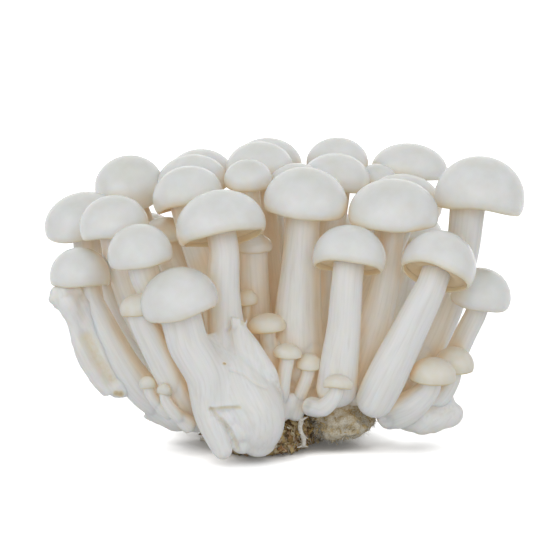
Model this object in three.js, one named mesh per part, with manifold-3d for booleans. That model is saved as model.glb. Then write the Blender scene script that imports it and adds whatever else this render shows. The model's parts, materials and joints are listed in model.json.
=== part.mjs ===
// A clump of white beech mushrooms (shimeji), in millimetres, +Z up, front towards -Y.
// The origin is on the surface that the clump stands on, under the middle of its outline.
// Each mushroom is one solid: a lathe turned about its own stem line, then bent along it.
// The stems run down into one fused foot, which stands on the plug of sawdust they grew from.

import * as THREE from 'three';
import { mergeVertices } from 'three/addons/utils/BufferGeometryUtils.js';
import Module from 'manifold-3d';

const wasm = await Module();
wasm.setup();

// ---- driving dimensions ----------------------------------------------------------------------

// clearance that neighbouring pieces keep where they meet
const GAP = 0.3;
// facets round a full-grown mushroom, one behind the others, and a pin
const FRONT_SIDES = 10;
const REAR_SIDES = 8;
const PIN_SIDES = 6;

// cap shape, as fractions of the cap's radius or height
const RIM_RADIUS = 0.9;
const RIM_FLARE_HEIGHT = 0.24;
const GILL_RADIUS = 0.6;
const GILL_RISE = 0.12;
// the gills reach at least this far out from the stem
const LEAST_GILLS = 0.2;
const DOME_RINGS = [0.5, 0.76, 0.94];
// the stem's throat is this share of the cap's radius, and a little more, below the rim
const THROAT_DEPTH = 0.24;
const THROAT_EXTRA = 0.6;
// share of a cut's clearance that the slanting rim takes each way
const RIM_GROWTH = 0.7;
// a cap broader than this is white, and a smaller one is still cream
const WHITE_CAP_RADIUS = 6;

// how far a stem's closed ends bulge past the last station, as a share of its radius there
const LOWER_END_BULGE = 0.55;
const UPPER_END_BULGE = 0.6;

// facets round a lump of tissue, and bands from its bottom to its top
const LUMP_SIDES = 16;
const LUMP_BANDS = 8;

// sole of the sawdust plug: half width and half depth, and where its middle is
const SOLE = { halfWidth: 14, halfDepth: 20, x: -5.5, y: 3.5 };
const PLUG_HEIGHT = 10.5;
const PLUG_SIDES = 22;
// the plug's outline, as [share of the half width, share of the height], from the sole up
const PLUG_PROFILE = [[0, 0], [1, 0], [1.13, 0.16], [1.17, 0.5], [1.08, 0.82], [0.8, 1], [0, 0.94]];
// its ragged side: how many waves run round it, how deep they are, and where they start
const PLUG_WAVES = [{ count: 3, depth: 0.04, start: 0.6 }, { count: 7, depth: 0.03, start: 2 }];
// how far behind the plug's own axis the middle of the clump's outline lies
const OUTLINE_CENTER = 10.9;

const CAP_WHITE = 0xdcdcd6;
const STEM_WHITE = 0xe6e3dd;
const PIN_CREAM = 0xe6ddc6;
const SAWDUST_BROWN = 0x8a7350;
const MYCELIUM_GREY = 0xbdb9ae;

const clump = new THREE.Group();
const mushrooms = new THREE.Group();
mushrooms.position.y = -OUTLINE_CENTER;
clump.add(mushrooms);
// the pieces grown so far, each larger by the gap
const grown = [];

// ---- solids ----------------------------------------------------------------------------------

/** A closed geometry as a manifold solid. */
function solidOf(geometry) {
  const bare = geometry.clone();
  bare.deleteAttribute('normal');
  bare.deleteAttribute('uv');
  const merged = mergeVertices(bare, 1e-4);
  return new wasm.Manifold(new wasm.Mesh({
    numProp: 3,
    vertProperties: new Float32Array(merged.attributes.position.array),
    triVerts: new Uint32Array(merged.index.array),
  }));
}

/** The largest of the separate bodies that a cut leaves. */
function largestBody(solid) {
  const bodies = solid.decompose();
  return bodies.reduce((best, body) => (body.volume() > best.volume() ? body : best));
}

/** A manifold solid as a geometry. */
function geometryOf(solid) {
  const mesh = solid.getMesh();
  const geometry = new THREE.BufferGeometry();
  const places = new Float32Array(mesh.vertProperties);
  geometry.setAttribute('position', new THREE.BufferAttribute(places, 3));
  geometry.setIndex(new THREE.BufferAttribute(new Uint32Array(mesh.triVerts), 1));
  geometry.computeVertexNormals();
  return geometry;
}

/** Whether two bounding boxes share any space. */
function boxesMeet(a, b) {
  return [0, 1, 2].every((k) => Math.max(a.min[k], b.min[k]) < Math.min(a.max[k], b.max[k]));
}

/**
 * Adds a piece to the clump. make(extra) gives its geometry grown by extra millimetres.
 * What is already there, grown by the gap, is cut away from it, so that neighbours press
 * against each other without touching.
 */
function grow(name, colour, roughness, make) {
  let solid = solidOf(make(0));
  for (const neighbour of grown) {
    if (boxesMeet(solid.boundingBox(), neighbour.boundingBox())) {
      solid = solid.subtract(neighbour);
    }
  }
  solid = largestBody(solid);
  grown.push(solidOf(make(GAP)));
  const material = new THREE.MeshStandardMaterial({ color: colour, roughness, metalness: 0 });
  const mesh = new THREE.Mesh(geometryOf(solid), material);
  mesh.name = name;
  mushrooms.add(mesh);
}

// ---- bent lathes -----------------------------------------------------------------------------

/** The unit direction that leans from upright by these degrees to the right and to the rear. */
function leaning([right, rear]) {
  const x = Math.tan(THREE.MathUtils.degToRad(right));
  const y = Math.tan(THREE.MathUtils.degToRad(rear));
  return new THREE.Vector3(x, y, 1).normalize();
}

/** Frames at the stem's stations: place, axis and two directions across it, without twist. */
function framesAlong(points, endAxis) {
  const curve = new THREE.CatmullRomCurve3(points, false, 'centripetal');
  const last = points.length - 1;
  const across = new THREE.Vector3(0, -1, 0);
  const turn = new THREE.Quaternion();
  let before = new THREE.Vector3(0, 0, 1);
  return points.map((place, k) => {
    const axis = k === last ? endAxis.clone() : curve.getTangent(k / last).normalize();
    across.applyQuaternion(turn.setFromUnitVectors(before, axis));
    before = axis;
    const side = new THREE.Vector3().crossVectors(axis, across).normalize();
    return { place, axis, across: across.clone(), side };
  });
}

/**
 * A lathe whose rings follow frames. Each ring is [frame, radius, height along the frame's axis],
 * and the first and last ring are closed on the axis.
 */
function bentLathe(rings, sides) {
  const profile = rings.map(([, radius], k) => new THREE.Vector2(radius, k));
  profile[0].x = 0;
  profile[rings.length - 1].x = 0;
  const geometry = new THREE.LatheGeometry(profile, sides);
  const place = geometry.attributes.position;
  const point = new THREE.Vector3();
  for (let i = 0; i < place.count; i += 1) {
    const [frame, , height] = rings[i % rings.length];
    point.copy(frame.place).addScaledVector(frame.axis, height);
    point.addScaledVector(frame.side, place.getX(i));
    point.addScaledVector(frame.across, place.getZ(i));
    place.setXYZ(i, point.x, point.y, point.z);
  }
  // the seam's last column repeats its first, so both get the same numbers
  const lastColumn = sides * rings.length;
  for (let k = 0; k < rings.length; k += 1) {
    place.setXYZ(lastColumn + k, place.getX(k), place.getY(k), place.getZ(k));
  }
  return geometry;
}

/** Closing and side rings of a stem whose stations are [x, y, z, radius] from its lower end up. */
function stemRings(stations, frames, extra) {
  const rings = stations.map(([, , , radius], k) => [frames[k], radius + extra, 0]);
  rings.unshift([frames[0], 0, -stations[0][3] * LOWER_END_BULGE - extra]);
  return rings;
}

/**
 * One mushroom. stem lists its stations from the foot up; neck is the stem's radius under the cap;
 * cap is the middle of the cap's rim, and offset moves the stem's top off that middle.
 */
function mushroom(name, { stem, neck, cap, lean = [0, 0], offset = [0, 0], radius, height, sides }) {
  const axis = leaning(lean);
  const rim = new THREE.Vector3(...cap);
  const top = rim.clone().add(new THREE.Vector3(offset[0], offset[1], 0));
  const throat = top.clone().addScaledVector(axis, -THROAT_DEPTH * radius - THROAT_EXTRA);
  const stations = [...stem, [throat.x, throat.y, throat.z, neck], [top.x, top.y, top.z, neck]];
  const points = stations.map(([x, y, z]) => new THREE.Vector3(x, y, z));
  grow(name, radius > WHITE_CAP_RADIUS ? CAP_WHITE : PIN_CREAM, 0.5, (extra) => {
    const frames = framesAlong(points, axis);
    const end = frames[frames.length - 1];
    const hat = { ...end, place: rim };
    const rings = stemRings(stations, frames, extra);
    rings[rings.length - 1][2] = GILL_RISE * height - extra;
    const dome = height * (1 - RIM_FLARE_HEIGHT);
    const gills = Math.max(GILL_RADIUS * radius, neck + extra + LEAST_GILLS);
    rings.push([hat, gills, GILL_RISE * height - extra]);
    rings.push([hat, RIM_RADIUS * radius + extra * RIM_GROWTH, -extra * RIM_GROWTH]);
    rings.push([hat, radius + extra, RIM_FLARE_HEIGHT * height]);
    for (const rise of DOME_RINGS) {
      const across = Math.sqrt(1 - rise * rise) * radius;
      rings.push([hat, across + extra, RIM_FLARE_HEIGHT * height + rise * dome + extra * rise]);
    }
    rings.push([hat, 0, height + extra]);
    return bentLathe(rings, sides);
  });
}

/** A stem with no cap, closed at both ends. */
function bareStem(name, stations, sides, colour = STEM_WHITE) {
  const points = stations.map(([x, y, z]) => new THREE.Vector3(x, y, z));
  const last = points.length - 1;
  const axis = points[last].clone().sub(points[last - 1]).normalize();
  grow(name, colour, 0.6, (extra) => {
    const frames = framesAlong(points, axis);
    const rings = stemRings(stations, frames, extra);
    rings.push([frames[last], 0, stations[last][3] * UPPER_END_BULGE + extra]);
    return bentLathe(rings, sides);
  });
}

/** A smooth lump: a sphere stretched to its three half sizes and tilted about Y. */
function lump({ at, half, tilt = 0 }, extra) {
  const geometry = new THREE.SphereGeometry(1, LUMP_SIDES, LUMP_BANDS);
  geometry.rotateX(Math.PI / 2);
  geometry.scale(half[0] + extra, half[1] + extra, half[2] + extra);
  geometry.rotateY(THREE.MathUtils.degToRad(tilt));
  geometry.translate(...at);
  return geometry;
}

// ---- the foot and what it stands on ----------------------------------------------------------

/** The sawdust plug: flat below, ragged round its side, and dished on top. */
function sawdustPlug() {
  grow('sawdust_plug', SAWDUST_BROWN, 0.95, (extra) => {
    const points = PLUG_PROFILE.map(([r, h]) => new THREE.Vector2(r, h * PLUG_HEIGHT));
    const geometry = new THREE.LatheGeometry(points, PLUG_SIDES);
    geometry.rotateX(Math.PI / 2);
    const place = geometry.attributes.position;
    for (let i = 0; i < place.count; i += 1) {
      const x = place.getX(i);
      const y = place.getY(i);
      const around = Math.atan2(y, x);
      const waves = PLUG_WAVES.map(({ count, depth, start }) => depth * Math.sin(count * around + start));
      const ragged = waves.reduce((sum, wave) => sum + wave, 1);
      // the two lowest rings grow down and all the others up
      const up = place.getZ(i) > PLUG_HEIGHT * PLUG_PROFILE[2][1] ? extra : -extra;
      place.setX(i, SOLE.x + x * (SOLE.halfWidth * ragged + extra));
      place.setY(i, SOLE.y + y * (SOLE.halfDepth * ragged + extra));
      place.setZ(i, place.getZ(i) + up);
    }
    return geometry;
  });
}

/** The white tissue that all the stems grow into, spread wide to the left and right. */
function fusedFoot() {
  const lumps = [
    { at: [-1, 6, 13.5], half: [21, 21, 7.5] },
    { at: [-21, 3, 14.5], half: [16, 11, 7], tilt: 22 },
    { at: [20, 3, 14], half: [16, 11, 6], tilt: -12 },
  ];
  grow('fused_foot', STEM_WHITE, 0.6, (extra) => {
    const [first, ...rest] = lumps.map((one) => solidOf(lump(one, extra)));
    return geometryOf(rest.reduce((whole, one) => whole.add(one), first));
  });
}

sawdustPlug();
fusedFoot();

// ---- the large mushrooms of the front --------------------------------------------------------

// its stem runs past the foot and ends free, just touching the ground
mushroom('front_left_mushroom', {
  stem: [[-14.8, -29, 2.2, 2.1], [-17.4, -28.8, 8, 3.2], [-20, -28.4, 14, 3.8], [-21, -27.8, 19.5, 4.8],
    [-22.2, -27.2, 25.5, 5.3], [-24.8, -27.5, 33, 5.2]],
  neck: 4.9,
  cap: [-25.2, -28, 39],
  lean: [-14, 0],
  radius: 9.8,
  height: 11.6,
  sides: FRONT_SIDES,
});

// its stem swells into the large lobe in front of the plug
mushroom('front_center_mushroom', {
  stem: [[-6.4, -22.3, 2.6, 3.1], [-6.4, -23.5, 8, 6.7], [-7.9, -23.5, 14, 9], [-11.2, -21.5, 20, 7.6],
    [-13.9, -18.5, 28, 5.4], [-15, -16.5, 36, 4.4], [-15.5, -15.5, 45, 4.1]],
  neck: 3.7,
  cap: [-15.4, -15, 55.8],
  lean: [-11, 17],
  radius: 11.4,
  height: 12.6,
  sides: FRONT_SIDES,
});

mushroom('center_tall_mushroom', {
  stem: [[4.4, -7.5, 14, 6.6], [4.2, -7.8, 26, 6.6], [3.8, -7, 36, 6], [4.4, -6, 46, 5.2]],
  neck: 4.2,
  cap: [5.3, -5, 60.8],
  lean: [7, 0],
  radius: 10.9,
  height: 12.2,
  sides: FRONT_SIDES,
});

mushroom('front_right_mushroom', {
  stem: [[13, -15, 11, 5.6], [13.8, -17, 18.6, 5.5], [14.4, -18.5, 26.5, 4.9], [15.5, -19.5, 34, 4.1]],
  neck: 3.7,
  cap: [16.3, -20, 49.1],
  lean: [7, 19],
  radius: 9.2,
  height: 11,
  sides: FRONT_SIDES,
});

mushroom('right_leaning_mushroom', {
  stem: [[21.7, -19, 12.5, 4.6], [24.2, -20, 17, 5.1], [27.6, -21, 24.5, 5], [31, -21.6, 31.5, 4.5],
    [34, -22, 38.5, 4]],
  neck: 3.6,
  cap: [38.1, -22, 47.1],
  lean: [21, 29],
  radius: 9.6,
  height: 12.2,
  sides: FRONT_SIDES,
});

mushroom('right_broad_mushroom', {
  stem: [[17.5, -6.5, 13, 5.4], [20.4, -8, 23, 5], [23, -9, 31, 4.4], [25.3, -9, 39, 3.9]],
  neck: 3,
  cap: [28, -8, 58.2],
  lean: [2, 0],
  radius: 11.6,
  height: 12.2,
  sides: FRONT_SIDES,
});

mushroom('far_right_high_mushroom', {
  stem: [[28, 3, 12.5, 5], [37, 5.5, 22, 5], [41.2, 6.5, 31, 4.7], [44.6, 7, 40, 4.5],
    [46.8, 6, 48.5, 4.4]],
  neck: 4.3,
  cap: [50.8, 4, 60.6],
  lean: [6, 5],
  offset: [-2.8, 0],
  radius: 11.8,
  height: 14.2,
  sides: FRONT_SIDES,
});

mushroom('far_right_low_mushroom', {
  stem: [[30, -0.5, 9.5, 4], [39.5, 0, 15.5, 3.5], [45.2, -1.5, 23.5, 3], [47.6, -4.4, 30.5, 2.8]],
  neck: 2.6,
  cap: [50.4, -6.5, 37.7],
  lean: [8, -8],
  radius: 7.8,
  height: 9.5,
  sides: FRONT_SIDES,
});

// ---- the left group --------------------------------------------------------------------------

mushroom('left_middle_mushroom', {
  stem: [[-19, -11, 12, 4.4], [-26.8, -14, 25, 4], [-31, -15.6, 37.5, 3.7]],
  neck: 3.7,
  cap: [-35.8, -20, 50.1],
  lean: [-10, 0],
  radius: 8.3,
  height: 10.3,
  sides: FRONT_SIDES,
});

mushroom('left_high_mushroom', {
  stem: [[-20, -2.5, 13, 4.6], [-33, -2.5, 26, 4.5], [-39.5, -3, 40, 4.3]],
  neck: 4,
  cap: [-43.4, -4, 55.3],
  lean: [-6, 0],
  radius: 9,
  height: 10.3,
  sides: FRONT_SIDES,
});

mushroom('far_left_low_mushroom', {
  stem: [[-27, -7, 8.5, 4.4], [-36.6, -9.6, 15.6, 4.3], [-41.4, -10, 23, 4.1], [-45.7, -10, 31.3, 3.6]],
  neck: 2.7,
  cap: [-52.3, -8, 42.9],
  lean: [0, 4],
  offset: [2, 0],
  radius: 7.8,
  height: 9.7,
  sides: FRONT_SIDES,
});

mushroom('far_left_high_mushroom', {
  stem: [[-25, 3, 11, 4.4], [-42, 5.5, 16.5, 4.3], [-49.5, 8.5, 27, 4.1], [-52.2, 12, 40, 3.9]],
  neck: 3.6,
  cap: [-52, 14, 52.7],
  lean: [-8, 0],
  radius: 10.6,
  height: 11.5,
  sides: FRONT_SIDES,
});

mushroom('left_rear_mushroom', {
  stem: [[-15, 11, 12, 4], [-30, 22, 38, 3.8]],
  neck: 3.4,
  cap: [-41, 28, 61.6],
  lean: [-6, -24],
  radius: 9.3,
  height: 10.8,
  sides: REAR_SIDES,
});

// ---- the crown: the high caps behind the front row -------------------------------------------

mushroom('right_rear_mushroom', {
  stem: [[12, 7, 12, 4.2], [22, 11, 36, 3.8]],
  neck: 3.4,
  cap: [31.4, 15, 58.1],
  lean: [4, 0],
  radius: 10.3,
  height: 10.8,
  sides: REAR_SIDES,
});

mushroom('crown_left_front', {
  stem: [[-9, 0, 12, 4.2], [-16, 1, 36, 3.8]],
  neck: 3.4,
  cap: [-24.3, 4.5, 61.8],
  lean: [-14, 8],
  radius: 9.2,
  height: 10.4,
  sides: FRONT_SIDES,
});

mushroom('crown_left_middle', {
  stem: [[-9, 9, 12, 4], [-16.5, 15.5, 38, 3.7]],
  neck: 3.3,
  cap: [-24, 24, 62.8],
  lean: [-6, 5],
  radius: 9.5,
  height: 10.2,
  sides: REAR_SIDES,
});

mushroom('crown_left_rear', {
  stem: [[-7.5, 16, 12, 4], [-14.5, 28, 38, 3.6]],
  neck: 3.2,
  cap: [-22.5, 41, 62.6],
  lean: [-4, 12],
  radius: 9.2,
  height: 10,
  sides: REAR_SIDES,
});

mushroom('crown_center_small', {
  stem: [[-3.5, 8, 12, 3], [-7, 10.5, 38, 2.7]],
  neck: 2.5,
  cap: [-9.2, 7.5, 66.6],
  lean: [-2, -8],
  radius: 6.3,
  height: 7,
  sides: FRONT_SIDES,
});

mushroom('crown_center_middle', {
  stem: [[-2, 14, 12, 3.8], [-4, 19.5, 40, 3.5]],
  neck: 3.2,
  cap: [-6.3, 25, 66.6],
  radius: 9.1,
  height: 9.8,
  sides: REAR_SIDES,
});

mushroom('crown_center_rear', {
  stem: [[-1, 20, 12, 3.8], [-2.5, 32, 40, 3.5]],
  neck: 3.2,
  cap: [-4.2, 43.5, 65.6],
  lean: [2, 8],
  radius: 9.4,
  height: 9.8,
  sides: REAR_SIDES,
});

mushroom('crown_tucked', {
  stem: [[2, 6, 12, 3], [3, 9, 40, 2.7]],
  neck: 2.5,
  cap: [3.4, 12.5, 64.8],
  lean: [-3, 0],
  radius: 7.2,
  height: 7.2,
  sides: FRONT_SIDES,
});

mushroom('crown_right_front', {
  stem: [[5, 11, 12, 3.8], [9.5, 15.5, 38, 3.5]],
  neck: 3.2,
  cap: [13.8, 19.5, 64.4],
  lean: [2, 0],
  radius: 9.1,
  height: 9.4,
  sides: REAR_SIDES,
});

mushroom('crown_right_rear', {
  stem: [[5, 18, 12, 3.8], [10, 28.5, 40, 3.5]],
  neck: 3.1,
  cap: [14.8, 37, 67],
  lean: [0, 5],
  radius: 8.5,
  height: 9.2,
  sides: REAR_SIDES,
});

mushroom('crown_right_small', {
  stem: [[9, 13, 12, 2.6], [17.5, 20.5, 40, 2.3]],
  neck: 2.1,
  cap: [25.2, 26.5, 64.2],
  radius: 5.5,
  height: 6,
  sides: REAR_SIDES,
});

mushroom('crown_far_right', {
  stem: [[11, 17, 12, 4], [22.5, 28, 38, 3.8]],
  neck: 3.4,
  cap: [34.2, 38, 65],
  lean: [4, 4],
  radius: 10.3,
  height: 9.5,
  sides: REAR_SIDES,
});

// ---- shaded mushrooms between the stems ------------------------------------------------------

mushroom('left_shaded_mushroom', {
  stem: [[-14, 5, 12, 3], [-23, 8, 34, 2.7]],
  neck: 2.5,
  cap: [-31, 10.5, 52],
  lean: [-4, 0],
  radius: 6.2,
  height: 6,
  sides: REAR_SIDES,
});

mushroom('center_shaded_mushroom', {
  stem: [[-5, -1, 13, 3.3], [-7, 0.5, 32, 3.2]],
  neck: 3.1,
  cap: [-7.8, 1, 50.4],
  radius: 5,
  height: 4.6,
  sides: REAR_SIDES,
});

// ---- the rear, leaning out and back ----------------------------------------------------------

mushroom('rear_far_left_mushroom', {
  stem: [[-20, 12, 10, 4.2], [-34, 21, 16, 4], [-44.5, 28, 26.5, 3.5]],
  neck: 3,
  cap: [-49, 32, 38],
  lean: [-10, 8],
  radius: 7.5,
  height: 7.8,
  sides: REAR_SIDES,
});

mushroom('rear_left_mushroom', {
  stem: [[-14, 17, 10.5, 4.2], [-25.5, 30, 21, 4], [-34, 38.5, 34, 3.7]],
  neck: 3.3,
  cap: [-37.5, 43, 46],
  lean: [-8, 12],
  radius: 8.6,
  height: 8.8,
  sides: REAR_SIDES,
});

mushroom('rear_center_left_mushroom', {
  stem: [[-5.5, 22, 10.5, 4.3], [-10, 36, 22, 4.2], [-13.5, 45, 36, 3.9]],
  neck: 3.5,
  cap: [-15, 50, 49.6],
  lean: [-4, 12],
  radius: 9.2,
  height: 9.4,
  sides: REAR_SIDES,
});

mushroom('rear_center_right_mushroom', {
  stem: [[4, 22, 10.5, 4.3], [8, 38, 20, 4.1], [10.5, 46, 33, 3.8]],
  neck: 3.4,
  cap: [11.5, 50.5, 46.6],
  lean: [2, 10],
  radius: 8.8,
  height: 9,
  sides: REAR_SIDES,
});

mushroom('rear_right_mushroom', {
  stem: [[13, 18, 10.5, 4.2], [25, 32, 20, 4.1], [32.5, 41, 33, 3.8]],
  neck: 3.4,
  cap: [35, 45.5, 46],
  lean: [6, 12],
  radius: 9,
  height: 9.2,
  sides: REAR_SIDES,
});

mushroom('rear_far_right_mushroom', {
  stem: [[18, 11, 10, 4], [32, 20, 14.5, 3.8], [42, 27, 24, 3.4]],
  neck: 2.9,
  cap: [46, 31, 34.4],
  lean: [8, 8],
  radius: 7.6,
  height: 7.8,
  sides: REAR_SIDES,
});

mushroom('rear_young_left', {
  stem: [[-9, 25, 9, 3.2], [-16, 36, 12, 3], [-22, 42, 20, 2.6]],
  neck: 2.3,
  cap: [-24, 44.5, 28],
  lean: [-8, 10],
  radius: 5.6,
  height: 5.6,
  sides: REAR_SIDES,
});

mushroom('rear_young_right', {
  stem: [[12, 25, 9, 3], [19, 35, 12, 2.8], [23, 40.5, 18, 2.4]],
  neck: 2.1,
  cap: [25, 43, 25],
  lean: [8, 12],
  radius: 4.9,
  height: 5,
  sides: REAR_SIDES,
});

mushroom('rear_pin', {
  stem: [[0, 28, 8.5, 2], [-0.6, 35, 10, 1.8]],
  neck: 1.5,
  cap: [-1, 39, 16],
  lean: [-4, 14],
  radius: 3.2,
  height: 3.6,
  sides: PIN_SIDES,
});

// ---- young mushrooms and pins ----------------------------------------------------------------

mushroom('left_young_mushroom', {
  stem: [[-24.3, -16, 10.5, 3.7], [-26.8, -19.4, 17, 3.8], [-29.4, -21, 23, 3.7], [-32, -22, 28.2, 3.4]],
  neck: 3,
  cap: [-36.2, -24.2, 38.3],
  lean: [-10, 0],
  radius: 4.9,
  height: 5,
  sides: REAR_SIDES,
});

mushroom('left_pin_outer', {
  stem: [[-25, -18.5, 9.6, 1.5], [-31.4, -21, 13.2, 1.4]],
  neck: 1.3,
  cap: [-34.4, -21.6, 18.8],
  lean: [-4, 0],
  radius: 2.2,
  height: 2.9,
  sides: PIN_SIDES,
});

mushroom('left_pin_inner', {
  stem: [[-23.5, -22, 9, 1.7], [-28, -24.6, 12.8, 1.6]],
  neck: 1.2,
  cap: [-30.2, -25.6, 18],
  lean: [8, 0],
  radius: 1.9,
  height: 2.6,
  sides: PIN_SIDES,
});

mushroom('shaded_pin', {
  stem: [[-7.5, -3.5, 14, 1.3], [-9.6, -5.2, 28, 1]],
  neck: 0.9,
  cap: [-9.4, -6.4, 37.6],
  radius: 2.9,
  height: 3.9,
  sides: PIN_SIDES,
});

mushroom('front_pin_tall', {
  stem: [[-1.8, -14, 14, 2], [-2.9, -13.4, 22, 1.9]],
  neck: 1.9,
  cap: [-4.1, -12, 31.7],
  lean: [-3, 0],
  radius: 4.9,
  height: 4.5,
  sides: REAR_SIDES,
});

mushroom('front_pin_middle', {
  stem: [[-1.7, -17.2, 7.2, 1.8], [-1, -17.6, 14.5, 2.4], [-0.3, -18, 19.6, 2]],
  neck: 1.8,
  cap: [1, -18, 26],
  lean: [6, 0],
  radius: 3.7,
  height: 3.4,
  sides: PIN_SIDES,
});

mushroom('front_pin_round', {
  stem: [[2.6, -15, 9.8, 1.9], [3.6, -16, 14, 1.8]],
  neck: 1.7,
  cap: [6.5, -16.2, 22.6],
  lean: [2, 0],
  radius: 3.3,
  height: 4,
  sides: PIN_SIDES,
});

mushroom('front_pin_bent', {
  stem: [[6.4, -19.4, 11.6, 2.4], [10.4, -23.4, 13.4, 2.1]],
  neck: 1.7,
  cap: [13.7, -25.8, 19.4],
  lean: [4, 10],
  radius: 3.8,
  height: 3.5,
  sides: PIN_SIDES,
});

mushroom('right_low_lumpy', {
  stem: [[27.5, -12.5, 10, 4.6], [33.4, -15.5, 12.6, 3.6]],
  neck: 2.5,
  cap: [38, -17, 19.4],
  lean: [4, 0],
  radius: 5.9,
  height: 6.3,
  sides: REAR_SIDES,
});

mushroom('right_low_small', {
  stem: [[32, -7, 9.5, 3.6], [40.6, -9, 13, 2.8]],
  neck: 2.2,
  cap: [43.9, -9.4, 20.6],
  lean: [4, 0],
  radius: 5.1,
  height: 6.4,
  sides: PIN_SIDES,
});

// ---- stems without caps, lobes and mycelium --------------------------------------------------

bareStem('broken_stub', [[-4.4, -22.4, 14, 5], [-5.8, -22.8, 22, 4.6], [-8, -22.4, 28, 3.6],
  [-10.2, -21.8, 32.4, 2.8], [-11, -21.4, 35, 2.1]], REAR_SIDES);

bareStem('left_aborted_stem', [[-31, -6, 10.5, 4], [-42, -9.6, 15.2, 2.9], [-48.8, -11.4, 21, 2.4],
  [-52.2, -12, 27.6, 2.3], [-53.4, -12, 34, 2.5], [-54.8, -12, 38.6, 3.2], [-56.6, -12, 41.6, 2.4]],
REAR_SIDES);

bareStem('left_frayed_end', [[-36.5, -7.5, 10, 2.4], [-41.8, -8.6, 12, 1.6]], PIN_SIDES);

bareStem('left_root_lobe', [[-20, -11, 9.4, 4.6], [-27.6, -8.6, 9, 4.4], [-35.4, -6.4, 11, 3.4]],
  REAR_SIDES);

bareStem('right_root_lobe', [[24, -8, 9.4, 4], [31.5, -12, 8.6, 4.6], [38, -12, 7.8, 4]],
  REAR_SIDES);

bareStem('right_root_tip', [[35, -3.5, 10.4, 3.4], [42, -7.5, 8.8, 3.8], [44, -8, 7, 2.8]],
  REAR_SIDES);

grow('mycelium_felt', MYCELIUM_GREY, 0.9, (extra) => (
  lump({ at: [15, -5, 6.8], half: [8.6, 9.5, 4.4], tilt: -6 }, extra)));

bareStem('mycelium_strand', [[4.4, -17, 9.6, 0.7], [4.7, -16.2, 5.6, 0.6], [5.2, -15, 1.4, 0.7]],
  PIN_SIDES, MYCELIUM_GREY);

export default clump;
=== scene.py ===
"""A clump of white beech mushrooms (shimeji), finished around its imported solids.

Lengths are in metres, +Z is up and the clump's front faces -Y. Each mushroom's place, tilt and
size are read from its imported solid, and its fine surface is grown there.
"""

import json
import math

import bpy
import numpy as np
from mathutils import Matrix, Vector, noise
from mathutils.bvhtree import BVHTree


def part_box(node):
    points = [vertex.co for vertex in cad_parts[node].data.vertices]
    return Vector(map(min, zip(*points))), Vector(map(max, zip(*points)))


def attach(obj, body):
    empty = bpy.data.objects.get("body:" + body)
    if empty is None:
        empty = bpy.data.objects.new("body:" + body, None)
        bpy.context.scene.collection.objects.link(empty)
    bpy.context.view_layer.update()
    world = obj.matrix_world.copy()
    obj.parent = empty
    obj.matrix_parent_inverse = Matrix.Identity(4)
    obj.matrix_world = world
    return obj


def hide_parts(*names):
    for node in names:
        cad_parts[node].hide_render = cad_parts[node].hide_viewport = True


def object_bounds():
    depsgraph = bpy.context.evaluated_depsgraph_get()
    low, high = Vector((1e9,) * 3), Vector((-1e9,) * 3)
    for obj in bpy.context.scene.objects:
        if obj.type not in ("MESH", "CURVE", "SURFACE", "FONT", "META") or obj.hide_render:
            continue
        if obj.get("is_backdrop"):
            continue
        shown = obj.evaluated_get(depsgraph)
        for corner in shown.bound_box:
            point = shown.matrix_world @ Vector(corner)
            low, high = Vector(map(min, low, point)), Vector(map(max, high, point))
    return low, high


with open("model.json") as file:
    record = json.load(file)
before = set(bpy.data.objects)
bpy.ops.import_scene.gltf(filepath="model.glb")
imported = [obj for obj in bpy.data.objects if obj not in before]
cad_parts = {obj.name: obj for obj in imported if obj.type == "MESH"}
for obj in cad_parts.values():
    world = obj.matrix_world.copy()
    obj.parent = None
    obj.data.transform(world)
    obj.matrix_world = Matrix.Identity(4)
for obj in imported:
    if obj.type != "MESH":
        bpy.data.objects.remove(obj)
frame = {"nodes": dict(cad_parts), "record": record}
cad_low, cad_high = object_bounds()


# ==== Full-grown mushrooms ====================================================================
# Each is a firm round stem with fine lengthwise fibres, under a domed cap whose margin is rolled
# in. Thin gills hang below the cap. The skin of the cap is smooth and satin, the flesh is white
# and lets a little light through.

MM = 0.001
WELD = 1e-6

# shape of a cap's solid: its highest ring and its widest one, as shares of its dome and height,
# and the even fan of triangles round its apex
DOME_RING = 0.94
FLARE = 0.24
FAN_LEAST = 6
FAN_SPREAD = 0.01
# the throat, where a stem's solid starts under the cap, from the cap's rim and as a share of its radius
THROAT_DEPTH = 0.24
THROAT_EXTRA = 0.6 * MM


def nodes_of(slot):
    """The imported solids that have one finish, in the record's order."""
    return [part["node"] for part in frame["record"]["subparts"] if part["material_slot"] == slot]


def rows_of(items, name, width, kind=float):
    """One property of a mesh's points, edges or faces, as a row of numbers for each."""
    values = np.empty(len(items) * width, dtype=kind)
    items.foreach_get(name, values)
    return values.reshape(-1, width)


def solid_of(node):
    """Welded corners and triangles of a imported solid."""
    mesh = frame["nodes"][node].data
    corners = rows_of(mesh.vertices, "co", 3)
    mesh.calc_loop_triangles()
    triangles = rows_of(mesh.loop_triangles, "vertices", 3, np.int64)
    keys = np.round(corners / WELD).astype(np.int64)
    _, first, same = np.unique(keys, axis=0, return_index=True, return_inverse=True)
    return corners[first], same.reshape(-1)[triangles]


def joined(shapes):
    """Points and faces of several shapes as those of one."""
    faces, count = [], 0
    for points, corners in shapes:
        faces += [[v + count for v in face] for face in corners]
        count += len(points)
    return np.vstack([points for points, _ in shapes]), faces


def unit(vectors):
    """Vectors of length 1 that point the same ways."""
    return vectors / np.linalg.norm(vectors, axis=-1, keepdims=True)


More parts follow.
